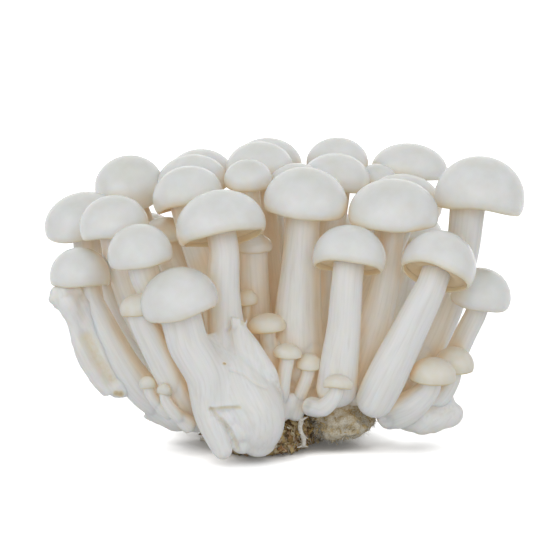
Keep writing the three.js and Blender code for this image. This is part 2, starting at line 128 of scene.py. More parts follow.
def read_cap(node):
    """A cap's apex, axis, radius and height, from the even fan of triangles at its top."""
    points, triangles = solid_of(node)
    uses = np.bincount(triangles.ravel())
    best = None
    for corner in np.nonzero(uses >= FAN_LEAST)[0]:
        ring = np.unique(triangles[(triangles == corner).any(axis=1)])
        ring = ring[ring != corner]
        middle = points[ring].mean(axis=0)
        spokes = np.linalg.norm(points[ring] - middle, axis=1)
        rise = points[corner] - middle
        even = len(ring) == uses[corner] and spokes.std() < FAN_SPREAD * spokes.mean()
        if even and rise[2] > 0 and (best is None or points[corner][2] > best["apex"][2]):
            drop = np.linalg.norm(rise)
            best = {"apex": points[corner], "axis": rise / drop}
            best["radius"] = spokes.mean() / math.sqrt(1 - DOME_RING**2)
            best["height"] = drop / ((1 - FLARE) * (1 - DOME_RING))
    best["rim"] = best["apex"] - best["axis"] * best["height"]
    return best


# a loop of fewer edges than this is a sliver of another part of the solid
LOOP_LEAST = 5
# a stem is this much stouter than the flat-sided loop that stands for it
FACET_LOSS = 1.04


def section(points, triangles, place, axis, reach):
    """Middle and girth of the loop where the plane through place, square to axis, cuts a solid."""
    level = (points - place) @ axis
    above = level[triangles] > 0
    crossed = above.any(axis=1) & ~above.all(axis=1)
    triangles, above = triangles[crossed], above[crossed]
    alone = np.where(above.sum(axis=1) == 1, above.argmax(axis=1), above.argmin(axis=1))
    rows = np.arange(len(triangles))
    single, second, third = (triangles[rows, (alone + k) % 3] for k in range(3))

    def crossing(a, b):
        share = level[a] / (level[a] - level[b])
        return points[a] + (points[b] - points[a]) * share[:, None]

    start, end = crossing(single, second), crossing(single, third)
    near = np.linalg.norm((start + end) / 2 - place, axis=1) < reach
    start, end = start[near], end[near]
    if len(start) < LOOP_LEAST:
        return None
    middle = (start + end).mean(axis=0) / 2
    for _ in range(2):
        slices = np.linalg.norm(np.cross(start - middle, end - middle), axis=1) / 2
        middle = ((start + end + middle) / 3 * slices[:, None]).sum(axis=0) / slices.sum()
    return middle, math.sqrt(slices.sum() / math.pi) * FACET_LOSS


SLICE_STEP = 1.6 * MM
MOST_SLICES = 60


def read_stem(node, cap):
    """Stations (x, y, z, girth) down a stem's solid, from its throat to where the solid ends."""
    points, triangles = solid_of(node)
    axis = cap["axis"]
    place = cap["rim"] - axis * (THROAT_DEPTH * cap["radius"] + THROAT_EXTRA)
    reach = 0.72 * cap["radius"]
    stations = []
    while len(stations) < MOST_SLICES:
        found = section(points, triangles, place, axis, reach)
        if found is None:
            break
        middle, girth = found
        # past the end of the solid a slice only clips its rounded tip
        if len(stations) > 3 and girth < 0.5 * np.mean([s[3] for s in stations[-4:]]):
            break
        stations.append([*middle, girth])
        if len(stations) > 2:
            axis = unit(np.array(stations[-3][:3]) - middle)
        place = middle - axis * SLICE_STEP
        reach = 1.6 * girth + 1.2 * MM
    return np.array(stations)


def smooth_line(values, times):
    """Averages each station with its neighbours and keeps both ends."""
    for _ in range(times):
        values[1:-1] = (values[:-2] + 2 * values[1:-1] + values[2:]) / 4
    return values


def arc_length(line):
    """How far along a line each of its stations lies."""
    gaps = np.linalg.norm(np.diff(line[:, :3], axis=0), axis=1)
    return np.concatenate([[0], np.cumsum(gaps)])


def resample(stations, step):
    """The same line with evenly spaced stations."""
    along = arc_length(stations)
    places = np.linspace(0, along[-1], max(4, int(along[-1] / step)))
    return np.stack([np.interp(places, along, column) for column in stations.T], axis=1)


# how long a stem's rounded end is for its girth, and how far its top reaches into the cap and widens
BLUNTNESS = 0.9
INTO_CAP = 0.36
TOP_WIDENING = 1.06


def rounded_end(stations):
    """Closes the lower end of a stem as a blunt finger tip."""
    girth = stations[0, 3]
    down = -unit(stations[2, :3] - stations[0, :3])
    tip = []
    for turn in np.radians([80, 62, 44, 26, 12]):
        place = stations[0, :3] + down * girth * math.sin(turn) * BLUNTNESS
        tip.append([*place, girth * math.cos(turn)])
    return np.vstack([tip, stations])


def stem_line(node, cap, lowest=0.0, step=0.75 * MM):
    """The whole line of a stem, from its blunt lower end up into the flesh of the cap."""
    stations = smooth_line(read_stem(node, cap)[::-1].copy(), 3)
    stations = stations[stations[:, 2] > lowest]
    # the solid's own narrow tip is left out
    stations = stations[int(np.argmax(stations[:, 3] > 0.8 * stations[3, 3])) :]
    depth = (cap["rim"] - stations[-1, :3]) @ cap["axis"]
    top = stations[-1, :3] + cap["axis"] * (depth + INTO_CAP * cap["height"])
    stations = np.vstack([stations, [*top, TOP_WIDENING * stations[-1, 3]]])
    return rounded_end(smooth_line(resample(stations, step), 12))


def turns(columns):
    """Angles round a ring: 0 faces the front, and a quarter turn faces the right."""
    return np.linspace(0, 2 * math.pi, columns, endpoint=False)


def facing(axis):
    """The ways to the front and to the right, square to an axis or to a row of them."""
    front = np.array([0.0, -1.0, 0.0])
    front = unit(front - axis * (axis @ front)[..., None])
    return front, np.cross(axis, front)


def spokes_of(axis, columns):
    """Directions from an axis out to a ring, for one axis or a row of them."""
    front, right = facing(axis)
    turn = turns(columns)[:, None]
    return front[..., None, :] * np.cos(turn) + right[..., None, :] * np.sin(turn)


def tube(line, columns, shape=1.0):
    """Rings of points along a line of (x, y, z, girth)."""
    axis = unit(np.gradient(line[:, :3], axis=0))
    girth = (line[:, 3, None] * shape)[..., None]
    return line[:, None, :3] + spokes_of(axis, columns) * girth


def uneven_girth(line, columns, rng):
    """A stem's uneven girth: slow swells, a slightly oval section, and fine lengthwise ridges."""
    along = arc_length(line)[:, None]
    around = turns(columns)[None]
    total = np.ones((len(line), columns))
    # waves round the stem, their length along it in millimetres, and their depth for its girth
    swells = [(0, 26, 0.022), (1, 19, 0.012), (2, 48, 0.035), (3, 33, 0.016), (5, 27, 0.007)]
    for waves, length, depth in swells:
        start, shift = rng.uniform(0, 2 * math.pi, 2)
        total += depth * np.sin(waves * around + start) * np.sin(2 * math.pi * along / (length * MM) + shift)
    ridge_depth, ridge_drift, drift_length = 0.0035, 0.8, 14 * MM
    for waves in (9, 14):
        start, shift = rng.uniform(0, 2 * math.pi, 2)
        drift = ridge_drift * np.sin(along / drift_length + shift)
        total += ridge_depth * np.sin(waves * around + start + drift)
    return total


def ring_faces(base, columns):
    """Faces from each ring to the next, where base holds the number of each ring's first point."""
    here = np.arange(columns)
    after = (here + 1) % columns
    quads = np.stack([base + here, base + after, base + columns + after, base + columns + here], axis=-1)
    return quads.reshape(-1, 4).tolist()


def closed_rings(rings, low=None, high=None):
    """Points and faces of a closed skin over rings, with a pole at each end."""
    rows, columns = rings.shape[:2]
    points = rings.reshape(-1, 3)
    low = rings[0].mean(axis=0) if low is None else low
    high = rings[-1].mean(axis=0) if high is None else high
    faces = ring_faces(np.arange(rows - 1)[:, None] * columns, columns)
    last, pole = (rows - 1) * columns, rows * columns
    steps = [(k, (k + 1) % columns) for k in range(columns)]
    faces += [[pole, b, a] for a, b in steps]
    faces += [[pole + 1, last + a, last + b] for a, b in steps]
    return np.vstack([points, low, high]), faces


def patch(points, faces, finish, grain=None, rise=None):
    """One patch of a piece: its mesh, its finish, and what its material reads at each point."""
    grain = points if grain is None else grain
    rise = np.zeros(len(points)) if rise is None else rise
    return {"points": points, "faces": faces, "finish": finish, "grain": grain, "rise": rise}


def straightened(points, line, shift):
    """Where points lie on a stem laid out straight, so that fibres can run along it."""
    nearest = np.zeros(len(points), dtype=np.int64)
    closest = np.full(len(points), np.inf)
    for k, middle in enumerate(line[:, :3]):
        apart = ((points - middle) ** 2).sum(axis=1)
        nearer = apart < closest
        nearest[nearer], closest[nearer] = k, apart[nearer]
    axis = unit(np.gradient(line[:, :3], axis=0))[nearest]
    offset = points - line[nearest, :3]
    parts = [(offset * side).sum(axis=1) for side in (*facing(axis), axis)]
    parts[2] += arc_length(line)[nearest]
    return np.stack(parts, axis=1) + shift, np.sqrt(closest) - line[nearest, 3]


def stem_patch(line, columns, rng, shift):
    """The skin of a stem."""
    points, faces = closed_rings(tube(line, columns, uneven_girth(line, columns, rng)))
    return patch(points, faces, "stem", straightened(points, line, shift)[0])


# how far the margin rolls in and how thick its lip is, as shares of the cap's radius
ROLL_IN = 0.11
LIP = 0.028
DOME_ROWS, ROLL_ROWS = 22, 9
# the gills reach out to this share of the cap's radius, under a roof whose points are given from
# there in, as shares of the radius and the height
GILLS_OUT = 0.84
ROOF = 0.44
UNDERSIDE = ((GILLS_OUT, 0.1), (0.79, 0.2), (0.7, 0.3), (0.58, 0.38), (0.44, 0.43), (0.28, ROOF), (0.1, ROOF))


def cap_outline(cap):
    """A cap's section as (radius, height): its dome, its rolled margin and the roof of its gills."""
    radius, height = cap["radius"], cap["height"]
    flare = FLARE * height
    edge = (1 - ROLL_IN) * radius
    dome = np.radians(np.linspace(3, 88, DOME_ROWS))
    outline = [(radius * math.sin(a), flare + (height - flare) * math.cos(a)) for a in dome]
    for a in np.radians(np.linspace(8, 88, ROLL_ROWS)):
        outline.append((edge + ROLL_IN * radius * math.cos(a), flare - flare * math.sin(a)))
    lip = LIP * radius
    for a in np.radians((100, 125, 150, 175)):
        outline.append((edge + lip * math.cos(a), 1.6 * lip * (1 - math.sin(a))))
    for across, up in UNDERSIDE:
        outline.append((across * radius, up * height))
    return np.array(outline)


def ripples(columns, depths, starts):
    """Two, three and five waves round a ring, added up."""
    return sum(d * np.sin(k * turns(columns) + start) for k, d, start in zip((2, 3, 5), depths, starts))


def cap_patch(cap, columns, rng):
    """The skin of a cap, its rolled margin and the roof that its gills hang from."""
    outline = cap_outline(cap)
    # how far the cap strays from round, and how its margin waves up and down
    starts = rng.uniform(0, 2 * math.pi, 6)
    swell = ripples(columns, (0.016, 0.011, 0.005), starts[:3])
    wave = ripples(columns, (0.022, 0.014, 0.007), starts[3:])
    rise = np.clip(outline[:, 1] / cap["height"], 0, 1)
    # the crown of the cap keeps its shape, and the margin is free
    slack = (1 - rise[:, None]) ** 2
    across = outline[:, 0, None] * (1 + swell * (0.35 + 0.65 * slack))
    up = outline[:, 1, None] + wave * cap["height"] * slack
    spoke = spokes_of(cap["axis"], columns)
    rings = cap["rim"] + spoke[None] * across[..., None] + cap["axis"] * up[..., None]
    # from the roof out to the margin and up to the apex, so that the faces point out
    rings = rings[::-1]
    roof = cap["rim"] + cap["axis"] * ROOF * cap["height"]
    points, faces = closed_rings(rings, roof, cap["apex"])
    turn = turns(columns)
    flat = np.stack([across * np.cos(turn), across * np.sin(turn), up], axis=-1)[::-1].reshape(-1, 3)
    flat = np.vstack([flat, [0, 0, 0], [0, 0, cap["height"]]]) + rng.uniform(-1, 1, 3)
    inside = np.arange(len(outline)) > DOME_ROWS + ROLL_ROWS + 1
    shown = np.where(inside, -1.0, rise)[::-1]
    return patch(points, faces, "cap", flat, np.concatenate([np.repeat(shown, columns), [-1, 1]]))


# how far apart the long gills are a little over halfway out, and half of a gill's thickness
GILL_SPACING = 0.8 * MM
GILL_HALF = 0.17 * MM


def gill_patch(cap, neck, rng):
    """Thin wedges from the stem to the margin, each second one short."""
    radius, height = cap["radius"], cap["height"]
    count = 2 * max(12, int(2 * math.pi * 0.6 * radius / GILL_SPACING))
    stations = 6
    turn = np.arange(count) * 2 * math.pi / count + rng.uniform(-0.2, 0.2, count) * 2 * math.pi / count
    starts = np.where(np.arange(count) % 2 == 0, 0.8 * neck, rng.uniform(0.46, 0.6, count) * radius)
    share = np.linspace(0, 1, stations)
    across = starts[:, None] + (GILLS_OUT * radius - starts[:, None]) * share
    outward = np.clip((across - neck) / (GILLS_OUT * radius - neck), 0, 1)
    # the top of a gill is buried in the roof, and its free edge hangs in a shallow bow
    top = height * (0.46 - 0.34 * outward**2.4)
    edge = height * (0.13 - 0.07 * np.sin(math.pi * outward**0.8) - 0.03 * outward**4)
    front, right = facing(cap["axis"])
    spoke = front * np.cos(turn)[:, None] + right * np.sin(turn)[:, None]
    aside = np.cross(cap["axis"], spoke)[:, None] * GILL_HALF
    middle = cap["rim"] + spoke[:, None] * across[..., None]
    high = middle + cap["axis"] * top[..., None]
    low = middle + cap["axis"] * edge[..., None]
    points = np.stack([high - aside, high + aside, low], axis=2).reshape(-1, 3)
    faces = []
    for blade in range(count):
        base = blade * stations * 3
        for k in range(stations - 1):
            a = base + 3 * k
            b = a + 3
            faces += [[a, a + 2, b + 2, b], [a + 1, b + 1, b + 2, a + 2], [a, b, b + 1, a + 1]]
        end = base + 3 * (stations - 1)
        faces += [[base, base + 1, base + 2], [end, end + 2, end + 1]]
    rise = np.tile([1.0, 1.0, 0.0], count * stations)
    return patch(points, faces, "gills", points, rise)


# The sky over a point of the flesh is a set of directions. How many of them its neighbours hide
# tells how deep the point lies in the clump, and so how much painted shade and glow it gets.
def even_directions(count):
    """Directions spread evenly over a sphere, along a spiral of golden angles."""
    golden = math.pi * (3 - math.sqrt(5))
    k = np.arange(count)
    z = 1 - 2 * (k + 0.5) / count
    flat = np.sqrt(1 - z**2)
    return np.stack([flat * np.cos(golden * k), flat * np.sin(golden * k), z], axis=1)


SKY = even_directions(32)
# how far a neighbour still shades, where a ray starts above the flesh, how it gets past a solid
# that it starts in, and the flattest ray that counts
SHADE_REACH = 40 * MM
RAY_START = 0.9 * MM
RAY_NUDGE = 0.05 * MM
FLATTEST_RAY = 0.12
clump_points, clump_faces = joined([solid_of(node) for node in sorted(frame["nodes"])])
solids = BVHTree.FromPolygons(clump_points.tolist(), np.array(clump_faces).tolist())


def shelter(points, normals):
    """How much of the sky over each point is hidden: 0 in the open, 1 deep inside the clump."""
    starts = [Vector(p) for p in points + normals * RAY_START]
    weights = normals @ SKY.T
    weights[weights < FLATTEST_RAY] = 0
    hidden = np.zeros(len(points))
    for weight, direction in zip(weights.T, (Vector(d) for d in SKY)):
        for i in np.nonzero(weight)[0].tolist():
            place, side, *_ = solids.ray_cast(starts[i], direction, SHADE_REACH)
            if place is not None and side.dot(direction) > 0:
                # the point lies just inside a solid, so the ray starts again from its far side
                place = solids.ray_cast(place + direction * RAY_NUDGE, direction, SHADE_REACH)[0]
            if place is not None:
                hidden[i] += weight[i]
    return hidden / np.maximum(weights.sum(axis=1), 1e-9)


def neighbours_mean(mesh, values, times):
    """Averages values over the mesh's edges."""
    a, b = rows_of(mesh.edges, "vertices", 2, np.int64).T
    count = np.bincount(np.concatenate([a, b]), minlength=len(values))
    for _ in range(times):
        total = np.bincount(a, values[b], len(values)) + np.bincount(b, values[a], len(values))
        values = (values + total / np.maximum(count, 1)) / 2
    return values


def set_values(mesh, name, values):
    """Stores a number or a direction for each point of a mesh, for its materials to read."""
    kind = "FLOAT_VECTOR" if values.ndim == 2 else "FLOAT"
    attribute = mesh.attributes.new(name, kind, "POINT")
    attribute.data.foreach_set("vector" if values.ndim == 2 else "value", values.astype(np.float32).ravel())


# nothing sinks into the table: the lowest that flesh and sawdust lie
TABLE = 0.02 * MM


def make_piece(name, patches, finishes, nodes, stain_and_shade=None):
    """Joins patches into one object that rides with the clump and stands for its nodes."""
    points, faces = joined([(p["points"], p["faces"]) for p in patches])
    points[:, 2] = np.maximum(points[:, 2], TABLE)
    finish_of_face = [p["finish"] for p in patches for _ in p["faces"]]
    mesh = bpy.data.meshes.new(name)
    mesh.from_pydata(points.tolist(), [], faces)
    for finish in finishes.values():
        mesh.materials.append(finish)
    mesh.polygons.foreach_set("material_index", [list(finishes).index(finish) for finish in finish_of_face])
    mesh.polygons.foreach_set("use_smooth", [finish != "gills" for finish in finish_of_face])
    set_values(mesh, "grain", np.vstack([p["grain"] for p in patches]))
    set_values(mesh, "rise", np.concatenate([p["rise"] for p in patches]))
    set_values(mesh, "stain_and_shade", np.zeros(len(points)) if stain_and_shade is None else stain_and_shade)
    set_values(mesh, "deep", depth_of(mesh, patches))
    piece = bpy.data.objects.new(name, mesh)
    bpy.context.scene.collection.objects.link(piece)
    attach(piece, "root")
    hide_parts(*nodes)


# gills always lie in the shade of their cap
GILL_SHELTER = 0.8


def depth_of(mesh, patches):
    """How sheltered each point of a new mesh is, evened out a little."""
    deep = np.full(len(mesh.vertices), GILL_SHELTER)
    open_to_sky = np.concatenate([np.full(len(p["points"]), p["finish"] != "gills") for p in patches])
    points = rows_of(mesh.vertices, "co", 3)[open_to_sky]
    normals = rows_of(mesh.vertex_normals, "vector", 3)[open_to_sky]
    deep[open_to_sky] = shelter(points, normals)
    return neighbours_mean(mesh, deep, 5)


def linear(hex_color):
    """An sRGB hex colour as linear red, green, blue and alpha."""
    values = [int(hex_color[i : i + 2], 16) / 255 for i in (1, 3, 5)]
    return [v / 12.92 if v <= 0.04045 else ((v + 0.055) / 1.055) ** 2.4 for v in values] + [1.0]


def add(material, kind, inputs=(), output=0, stops=(), **settings):
    """Adds a node and gives one of its outputs. An input's value is a number, a hex colour or a
    link. Stops are the places and the colours or greys of a colour ramp."""
    node = material.node_tree.nodes.new("ShaderNode" + kind)
    for name, value in settings.items():
        setattr(node, name, value)
    for name, value in dict(inputs).items():
        if isinstance(value, bpy.types.NodeSocket):
            material.node_tree.links.new(value, node.inputs[name])
        else:
            node.inputs[name].default_value = linear(value) if isinstance(value, str) else value
    for k, (place, value) in enumerate(stops):
        element = node.color_ramp.elements[k] if k < 2 else node.color_ramp.elements.new(place)
        element.position = place
        element.color = linear(value) if isinstance(value, str) else [value, value, value, 1.0]
    return node.outputs[output] if len(node.outputs) else None


# the Mix node's sockets for colours
FACTOR, FIRST, SECOND, MIXED = 0, 6, 7, 2
MULTIPLY = {"output": MIXED, "data_type": "RGBA", "blend_type": "MULTIPLY"}
# what a mesh holds at each of its points: where it lies in the pattern, its height on a cap or a
# gill (or the tone of its sliver), how stained it is or how much shade is painted into its creases,
# and how sheltered it is, which sets its painted shade and glow
GRAIN = {"output": "Vector", "attribute_name": "grain"}
RISE = {"output": "Fac", "attribute_name": "rise"}
STAIN_AND_SHADE = {"output": "Fac", "attribute_name": "stain_and_shade"}
DEEP = {"output": "Fac", "attribute_name": "deep"}


def new_material(name):
    """An empty material, ready for nodes."""
    material = bpy.data.materials.new(name)
    material.use_nodes = True
    material.node_tree.nodes.clear()
    return material


def finish_flesh(material, color, bump, depth, roughness, scatter, moist=0.0):
    """Flesh under a skin: satin gloss, a moist film that shines at its edges, and soft scattering.
    Deep in the clump it has a painted glow, in place of light that soaks through its neighbours."""
    relief = add(material, "Bump", {"Height": bump, "Distance": depth * MM, "Strength": 1.0})
    deep = add(material, "Attribute", **DEEP)
    # painted glow: the flesh deep in the clump glows a little, in place of light that soaks through its
    # neighbours
    painted_glow = add(material, "ValToRGB", {"Fac": deep}, stops=[(0.4, 0.0), (0.9, 0.055)])
    inputs = {
        "Base Color": color,
        "Roughness": roughness,
        "IOR": 1.4,
        "Normal": relief,
        # red light goes deepest into the flesh
        "Subsurface Weight": 0.7,
        "Subsurface Radius": (1.0, 0.78, 0.6),
        "Subsurface Scale": scatter * MM,
        "Coat Weight": moist,
        "Coat Roughness": 0.14,
        "Coat IOR": 1.42,
        # painted glow, warm cream, as strong as the shelter above allows
        "Emission Color": "#FFEFD4",
        "Emission Strength": painted_glow,
    }
    shader = add(material, "BsdfPrincipled", inputs)
    add(material, "OutputMaterial", {"Surface": shader})
    material.cycles.emission_sampling = "NONE"
    return material


def painted_shade_and_stains(material, color):
    """Paints a warm shade on the flesh where it lies deep between its neighbours, and yellows it
    where it is stained or has shade painted into a crease.
    """
    # painted shade: warmer and a little darker deep between neighbours, where shade falls
    painted_shade_tones = [(0.35, "#FFFFFF"), (0.6, "#FFFBF5"), (0.85, "#FDEEDA"), (1.0, "#F8DFBE")]
    painted_shade = add(material, "ValToRGB", {"Fac": add(material, "Attribute", **DEEP)}, stops=painted_shade_tones)
    color = add(material, "Mix", {FACTOR: 1.0, FIRST: color, SECOND: painted_shade}, **MULTIPLY)
    grain = add(material, "Attribute", **GRAIN)
    blotch = add(material, "TexNoise", {"Vector": grain, "Scale": 1 / (1.1 * MM), "Detail": 3.0})
    spread = add(material, "Math", {0: blotch, 1: 0.8, 2: 0.5}, operation="MULTIPLY_ADD")
    stain_and_shade_here = add(material, "Attribute", **STAIN_AND_SHADE)
    patchy = add(material, "Math", {0: stain_and_shade_here, 1: spread}, operation="MULTIPLY")
    yellows = [(0.1, "#F5EACB"), (0.45, "#E0CC98"), (0.9, "#B89A62")]
    tint = add(material, "ValToRGB", {"Fac": patchy}, stops=yellows)
    share = add(material, "ValToRGB", {"Fac": patchy}, stops=[(0.05, 0.0), (0.4, 0.7), (0.9, 0.85)])
    mixed = {FACTOR: share, FIRST: color, SECOND: tint}
    return add(material, "Mix", mixed, output=MIXED, data_type="RGBA")


def cap_skin():
    """Skin of a cap: smooth and satin, faintly grey-green on the dome, creamy at the margin."""
    material = new_material("satin_cap_skin")
    grain = add(material, "Attribute", **GRAIN)
    tones = [(0.0, "#EADFC4"), (0.05, "#F3F0E7"), (0.16, "#F7F8F8"), (0.7, "#F3F5F5"), (1.0, "#EDEFEA")]
    color = add(material, "ValToRGB", {"Fac": add(material, "Attribute", **RISE)}, stops=tones)
    wide = add(material, "TexNoise", {"Vector": grain, "Scale": 1 / (5 * MM), "Detail": 3.0})
    clouds = add(material, "ValToRGB", {"Fac": wide}, stops=[(0.3, "#F4F3EF"), (0.7, "#FFFFFF")])
    color = add(material, "Mix", {FACTOR: 0.8, FIRST: color, SECOND: clouds}, **MULTIPLY)
    color = painted_shade_and_stains(material, color)
    fine = add(material, "TexNoise", {"Vector": grain, "Scale": 1 / (0.4 * MM), "Detail": 3.0})
    damp = add(material, "TexNoise", {"Vector": grain, "Scale": 1 / (1.6 * MM)})
    gloss = add(material, "ValToRGB", {"Fac": damp}, stops=[(0.3, 0.42), (0.7, 0.54)])
    return finish_flesh(material, color, fine, 0.02, gloss, 2.2, moist=0.6)


def stem_flesh():
    """Flesh of a stem: white, with fibres that run along it as fine silky streaks."""
    material = new_material("fibrous_stem_flesh")
    grain = add(material, "Attribute", **GRAIN)
    # the pattern is drawn out along the stem, 26 times for the fibres and 12 for the broad bands
    along = add(material, "VectorMath", {0: grain, 1: (1, 1, 1 / 26)}, operation="MULTIPLY")
    streaks = add(material, "TexNoise", {"Vector": along, "Scale": 1 / (0.75 * MM), "Detail": 3.0})
    whites = [(0.28, "#EEEFEF"), (0.5, "#F5F7F8"), (0.72, "#FAFBFC")]
    color = add(material, "ValToRGB", {"Fac": streaks}, stops=whites)
    along = add(material, "VectorMath", {0: grain, 1: (1, 1, 1 / 12)}, operation="MULTIPLY")
    broad = add(material, "TexNoise", {"Vector": along, "Scale": 1 / (2.4 * MM)})
    tint = add(material, "ValToRGB", {"Fac": broad}, stops=[(0.3, "#FBF9F4"), (0.65, "#FFFFFF")])
    color = add(material, "Mix", {FACTOR: 1.0, FIRST: color, SECOND: tint}, **MULTIPLY)
    return finish_flesh(material, painted_shade_and_stains(material, color), streaks, 0.012, 0.52, 2.2, moist=0.3)


def gill_flesh():
    """Gills: thin cream blades, tan where they meet the cap."""
    material = new_material("cream_gill_flesh")
    tones = [(0.0, "#F0D8A2"), (1.0, "#D6AE68")]
    color = add(material, "ValToRGB", {"Fac": add(material, "Attribute", **RISE)}, stops=tones)
    grain = add(material, "Attribute", **GRAIN)
    speckle = add(material, "TexNoise", {"Vector": grain, "Scale": 1 / (0.5 * MM)})
    return finish_flesh(material, color, speckle, 0.03, 0.65, 1.5)


finishes = {"cap": cap_skin(), "stem": stem_flesh(), "gills": gill_flesh()}

# the two stems at the front, whose lower ends stand free
FREE_ENDED = ("front_left_mushroom", "front_center_mushroom")
# how high two of the stems end, above the felt and beside it
LOWEST = {"right_leaning_mushroom": 14.2 * MM, "front_right_mushroom": 17.2 * MM}
# the stems behind are swollen against each other and leave few gaps: by the first word of the
# name, and for single ones
SWOLLEN = {"crown": 1.22, "rear": 1.1}
SWOLLEN_MORE = {"crown_left_front": 1.45, "left_shaded_mushroom": 1.5, "center_shaded_mushroom": 1.22}
# where a stem meets its gills, counted back from the end of its line
NECK = -8

stems, shifts = {}, {}
for seed, node in enumerate(nodes_of("mushroom")):
    rng = np.random.default_rng(100 + seed)
    cap = read_cap(node)
    line = stem_line(node, cap, LOWEST.get(node, 0.0))
    line[:, 3] *= SWOLLEN_MORE.get(node, SWOLLEN.get(node.split("_")[0], 1.0))
    stems[node], shifts[node] = line, rng.uniform(-1, 1, 3)
    patches = [cap_patch(cap, 64, rng), gill_patch(cap, line[NECK, 3], rng)]
    if node not in FREE_ENDED:
        patches.append(stem_patch(line, 44, rng, shifts[node]))
    make_piece(node + "_flesh", patches, finishes, [node])


# ==== The front pair ==========================================================================
# The stems of the two front mushrooms have grown together low down. The left one runs on as a
# free finger, the right one swells into a bulb, and the stub of a snapped mushroom leans on it.

UP = np.array([0.0, 0.0, 1.0])
# millimetres from one level slice to the next
LEVEL_STEP = 0.8


def read_line(node, low, high):
    """Stations (x, y, z, girth) up through a solid, from level slices between two heights (mm)."""
    points, triangles = solid_of(node)
    place = points[points[:, 2].argmax()]
    stations = []
    for level in np.arange(high, low, -LEVEL_STEP) * MM:
        found = section(points, triangles, np.array([place[0], place[1], level]), UP, 6 * MM)
        if found:
            place = found[0]
            stations.append([*found[0], found[1]])
    return smooth_line(np.array(stations[::-1]), 2)


def at_height(line, heights):
    """Stations of a line at the given heights."""
    order = np.argsort(line[:, 2])
    return np.stack([np.interp(heights, line[order, 2], line[order, k]) for k in range(4)], axis=1)


def between(first, second, low, high, shares, slim=1.0, fade=9.0):
    """Tubes of flesh that fill the space between two stems and thin out at their upper end (mm)."""
    heights = np.arange(low, high, LEVEL_STEP) * MM
    start, end = at_height(first, heights), at_height(second, heights)
    thin = slim * np.clip((high * MM + 0.5 * MM - heights) / (fade * MM), 0, 1) ** 0.7
    shapes = []
    for share in shares:
        line = start + (end - start) * share
        line[:, 3] *= thin
        shapes.append(closed_rings(tube(line, 24)))
    return shapes


def lump(place, half):
    """A small rounded swelling, from its middle and its half sizes in millimetres."""
    rise = np.radians(np.linspace(-78, 78, 9))[:, None]
    turn = turns(16)
    level = np.cos(rise)
    rings = np.stack([level * np.sin(turn), -level * np.cos(turn), np.sin(rise) + 0 * turn], axis=-1)
    return closed_rings((np.array(place) + rings * np.array(half)) * MM)


def lumps(middle, swellings, form=(1, 1, 1)):
    """Lumps of one form round a middle: how far each lies from it (x, y, z), and its half size (mm)."""
    return [lump(middle + place, size * np.array(form)) for *place, size in swellings]


def skin_round(name, shapes, voxel, soften):
    """One closed skin round overlapping shapes, of squares that many millimetres wide, softened so
    many times: its points, faces and normals."""
    points, faces = joined(shapes)
    mesh = bpy.data.meshes.new(name)
    mesh.from_pydata(points.tolist(), [], faces)
    source = bpy.data.objects.new(name, mesh)
    bpy.context.scene.collection.objects.link(source)
    source.modifiers.new("skin", "REMESH").voxel_size = voxel * MM
    smooth = source.modifiers.new("soft", "SMOOTH")
    smooth.factor, smooth.iterations = 0.5, soften
    fine = bpy.data.meshes.new_from_object(source.evaluated_get(bpy.context.evaluated_depsgraph_get()))
    bpy.data.objects.remove(source)
    faces = rows_of(fine.polygons, "vertices", 4, np.int64).tolist()
    return rows_of(fine.vertices, "co", 3), faces, rows_of(fine.vertex_normals, "vector", 3)


def grain_along(points, names, top):
    """Fibre coordinates of a shared skin, from the nearest of the named stems below a height."""
    grain, closest = np.zeros_like(points), np.full(len(points), np.inf)
    for name in names:
        below = stems[name][: 3 + int((stems[name][:, 2] < top).sum())]
        flat, apart = straightened(points, below, shifts[name])
        nearer = apart < closest
        grain[nearer], closest[nearer] = flat[nearer], apart[nearer]
    return grain


def trail_on(line, marks):
    """A trail in the front view, from heights and distances to the right of a stem's middle (mm)."""
    marks = np.array(marks) * MM
    return np.stack([at_height(line, marks[:, 0])[:, 0] + marks[:, 1], marks[:, 0]], axis=1)


def from_trail(points, trail):
    """How far points lie from a trail in the front view."""
    flat, nearest = points[:, (0, 2)], np.full(len(points), np.inf)
    for start, end in zip(trail[:-1], trail[1:]):
        way = end - start
        share = np.clip((flat - start) @ way / (way @ way), 0, 1)
        nearest = np.minimum(nearest, np.linalg.norm(flat - start - share[:, None] * way, axis=1))
    return nearest


def band(apart, width):
    """1 on a line or at a spot and 0 away from it."""
    return np.exp(-((apart / (width * MM)) ** 2))


left, right = stems["front_left_mushroom"].copy(), stems["front_center_mushroom"].copy()
# the left stem has a kink inwards, just above its finger (mm to the right, by height)
kink_heights = [2, 9, 14, 19, 23, 27, 31, 38]
kink = [0.3, 0.4, 0.8, 1.7, 2.2, 1.2, 0, -0.6]
left[:, 0] += np.interp(left[:, 2] / MM, kink_heights, kink) * MM
left = smooth_line(left, 3)
stems["front_left_mushroom"] = left
shapes = []
for line in (left, right):
    shapes.append(closed_rings(tube(line, 48, uneven_girth(line, 48, np.random.default_rng(7)))))
shapes += between(left, right, 14.3, 33, (0.15, 0.3, 0.45, 0.6, 0.75, 0.9))

# the stub leans to the left as it rises, and is wider that way low down
stub = read_line("broken_stub", 15, 34)
stub[:, 0] -= np.interp(stub[:, 2] / MM, [20, 26, 33], [0.4, 1.1, 1.4]) * MM
wide = stub.copy()
wide[:, 0] -= 1.3 * MM
wide[:, 3] *= np.interp(wide[:, 2] / MM, [28, 34], [1, 0.7])
shapes += [closed_rings(tube(line, 32)) for line in (stub, wide)]
shapes += between(stub, right, 17, 33, (0.25, 0.5, 0.75), fade=8)

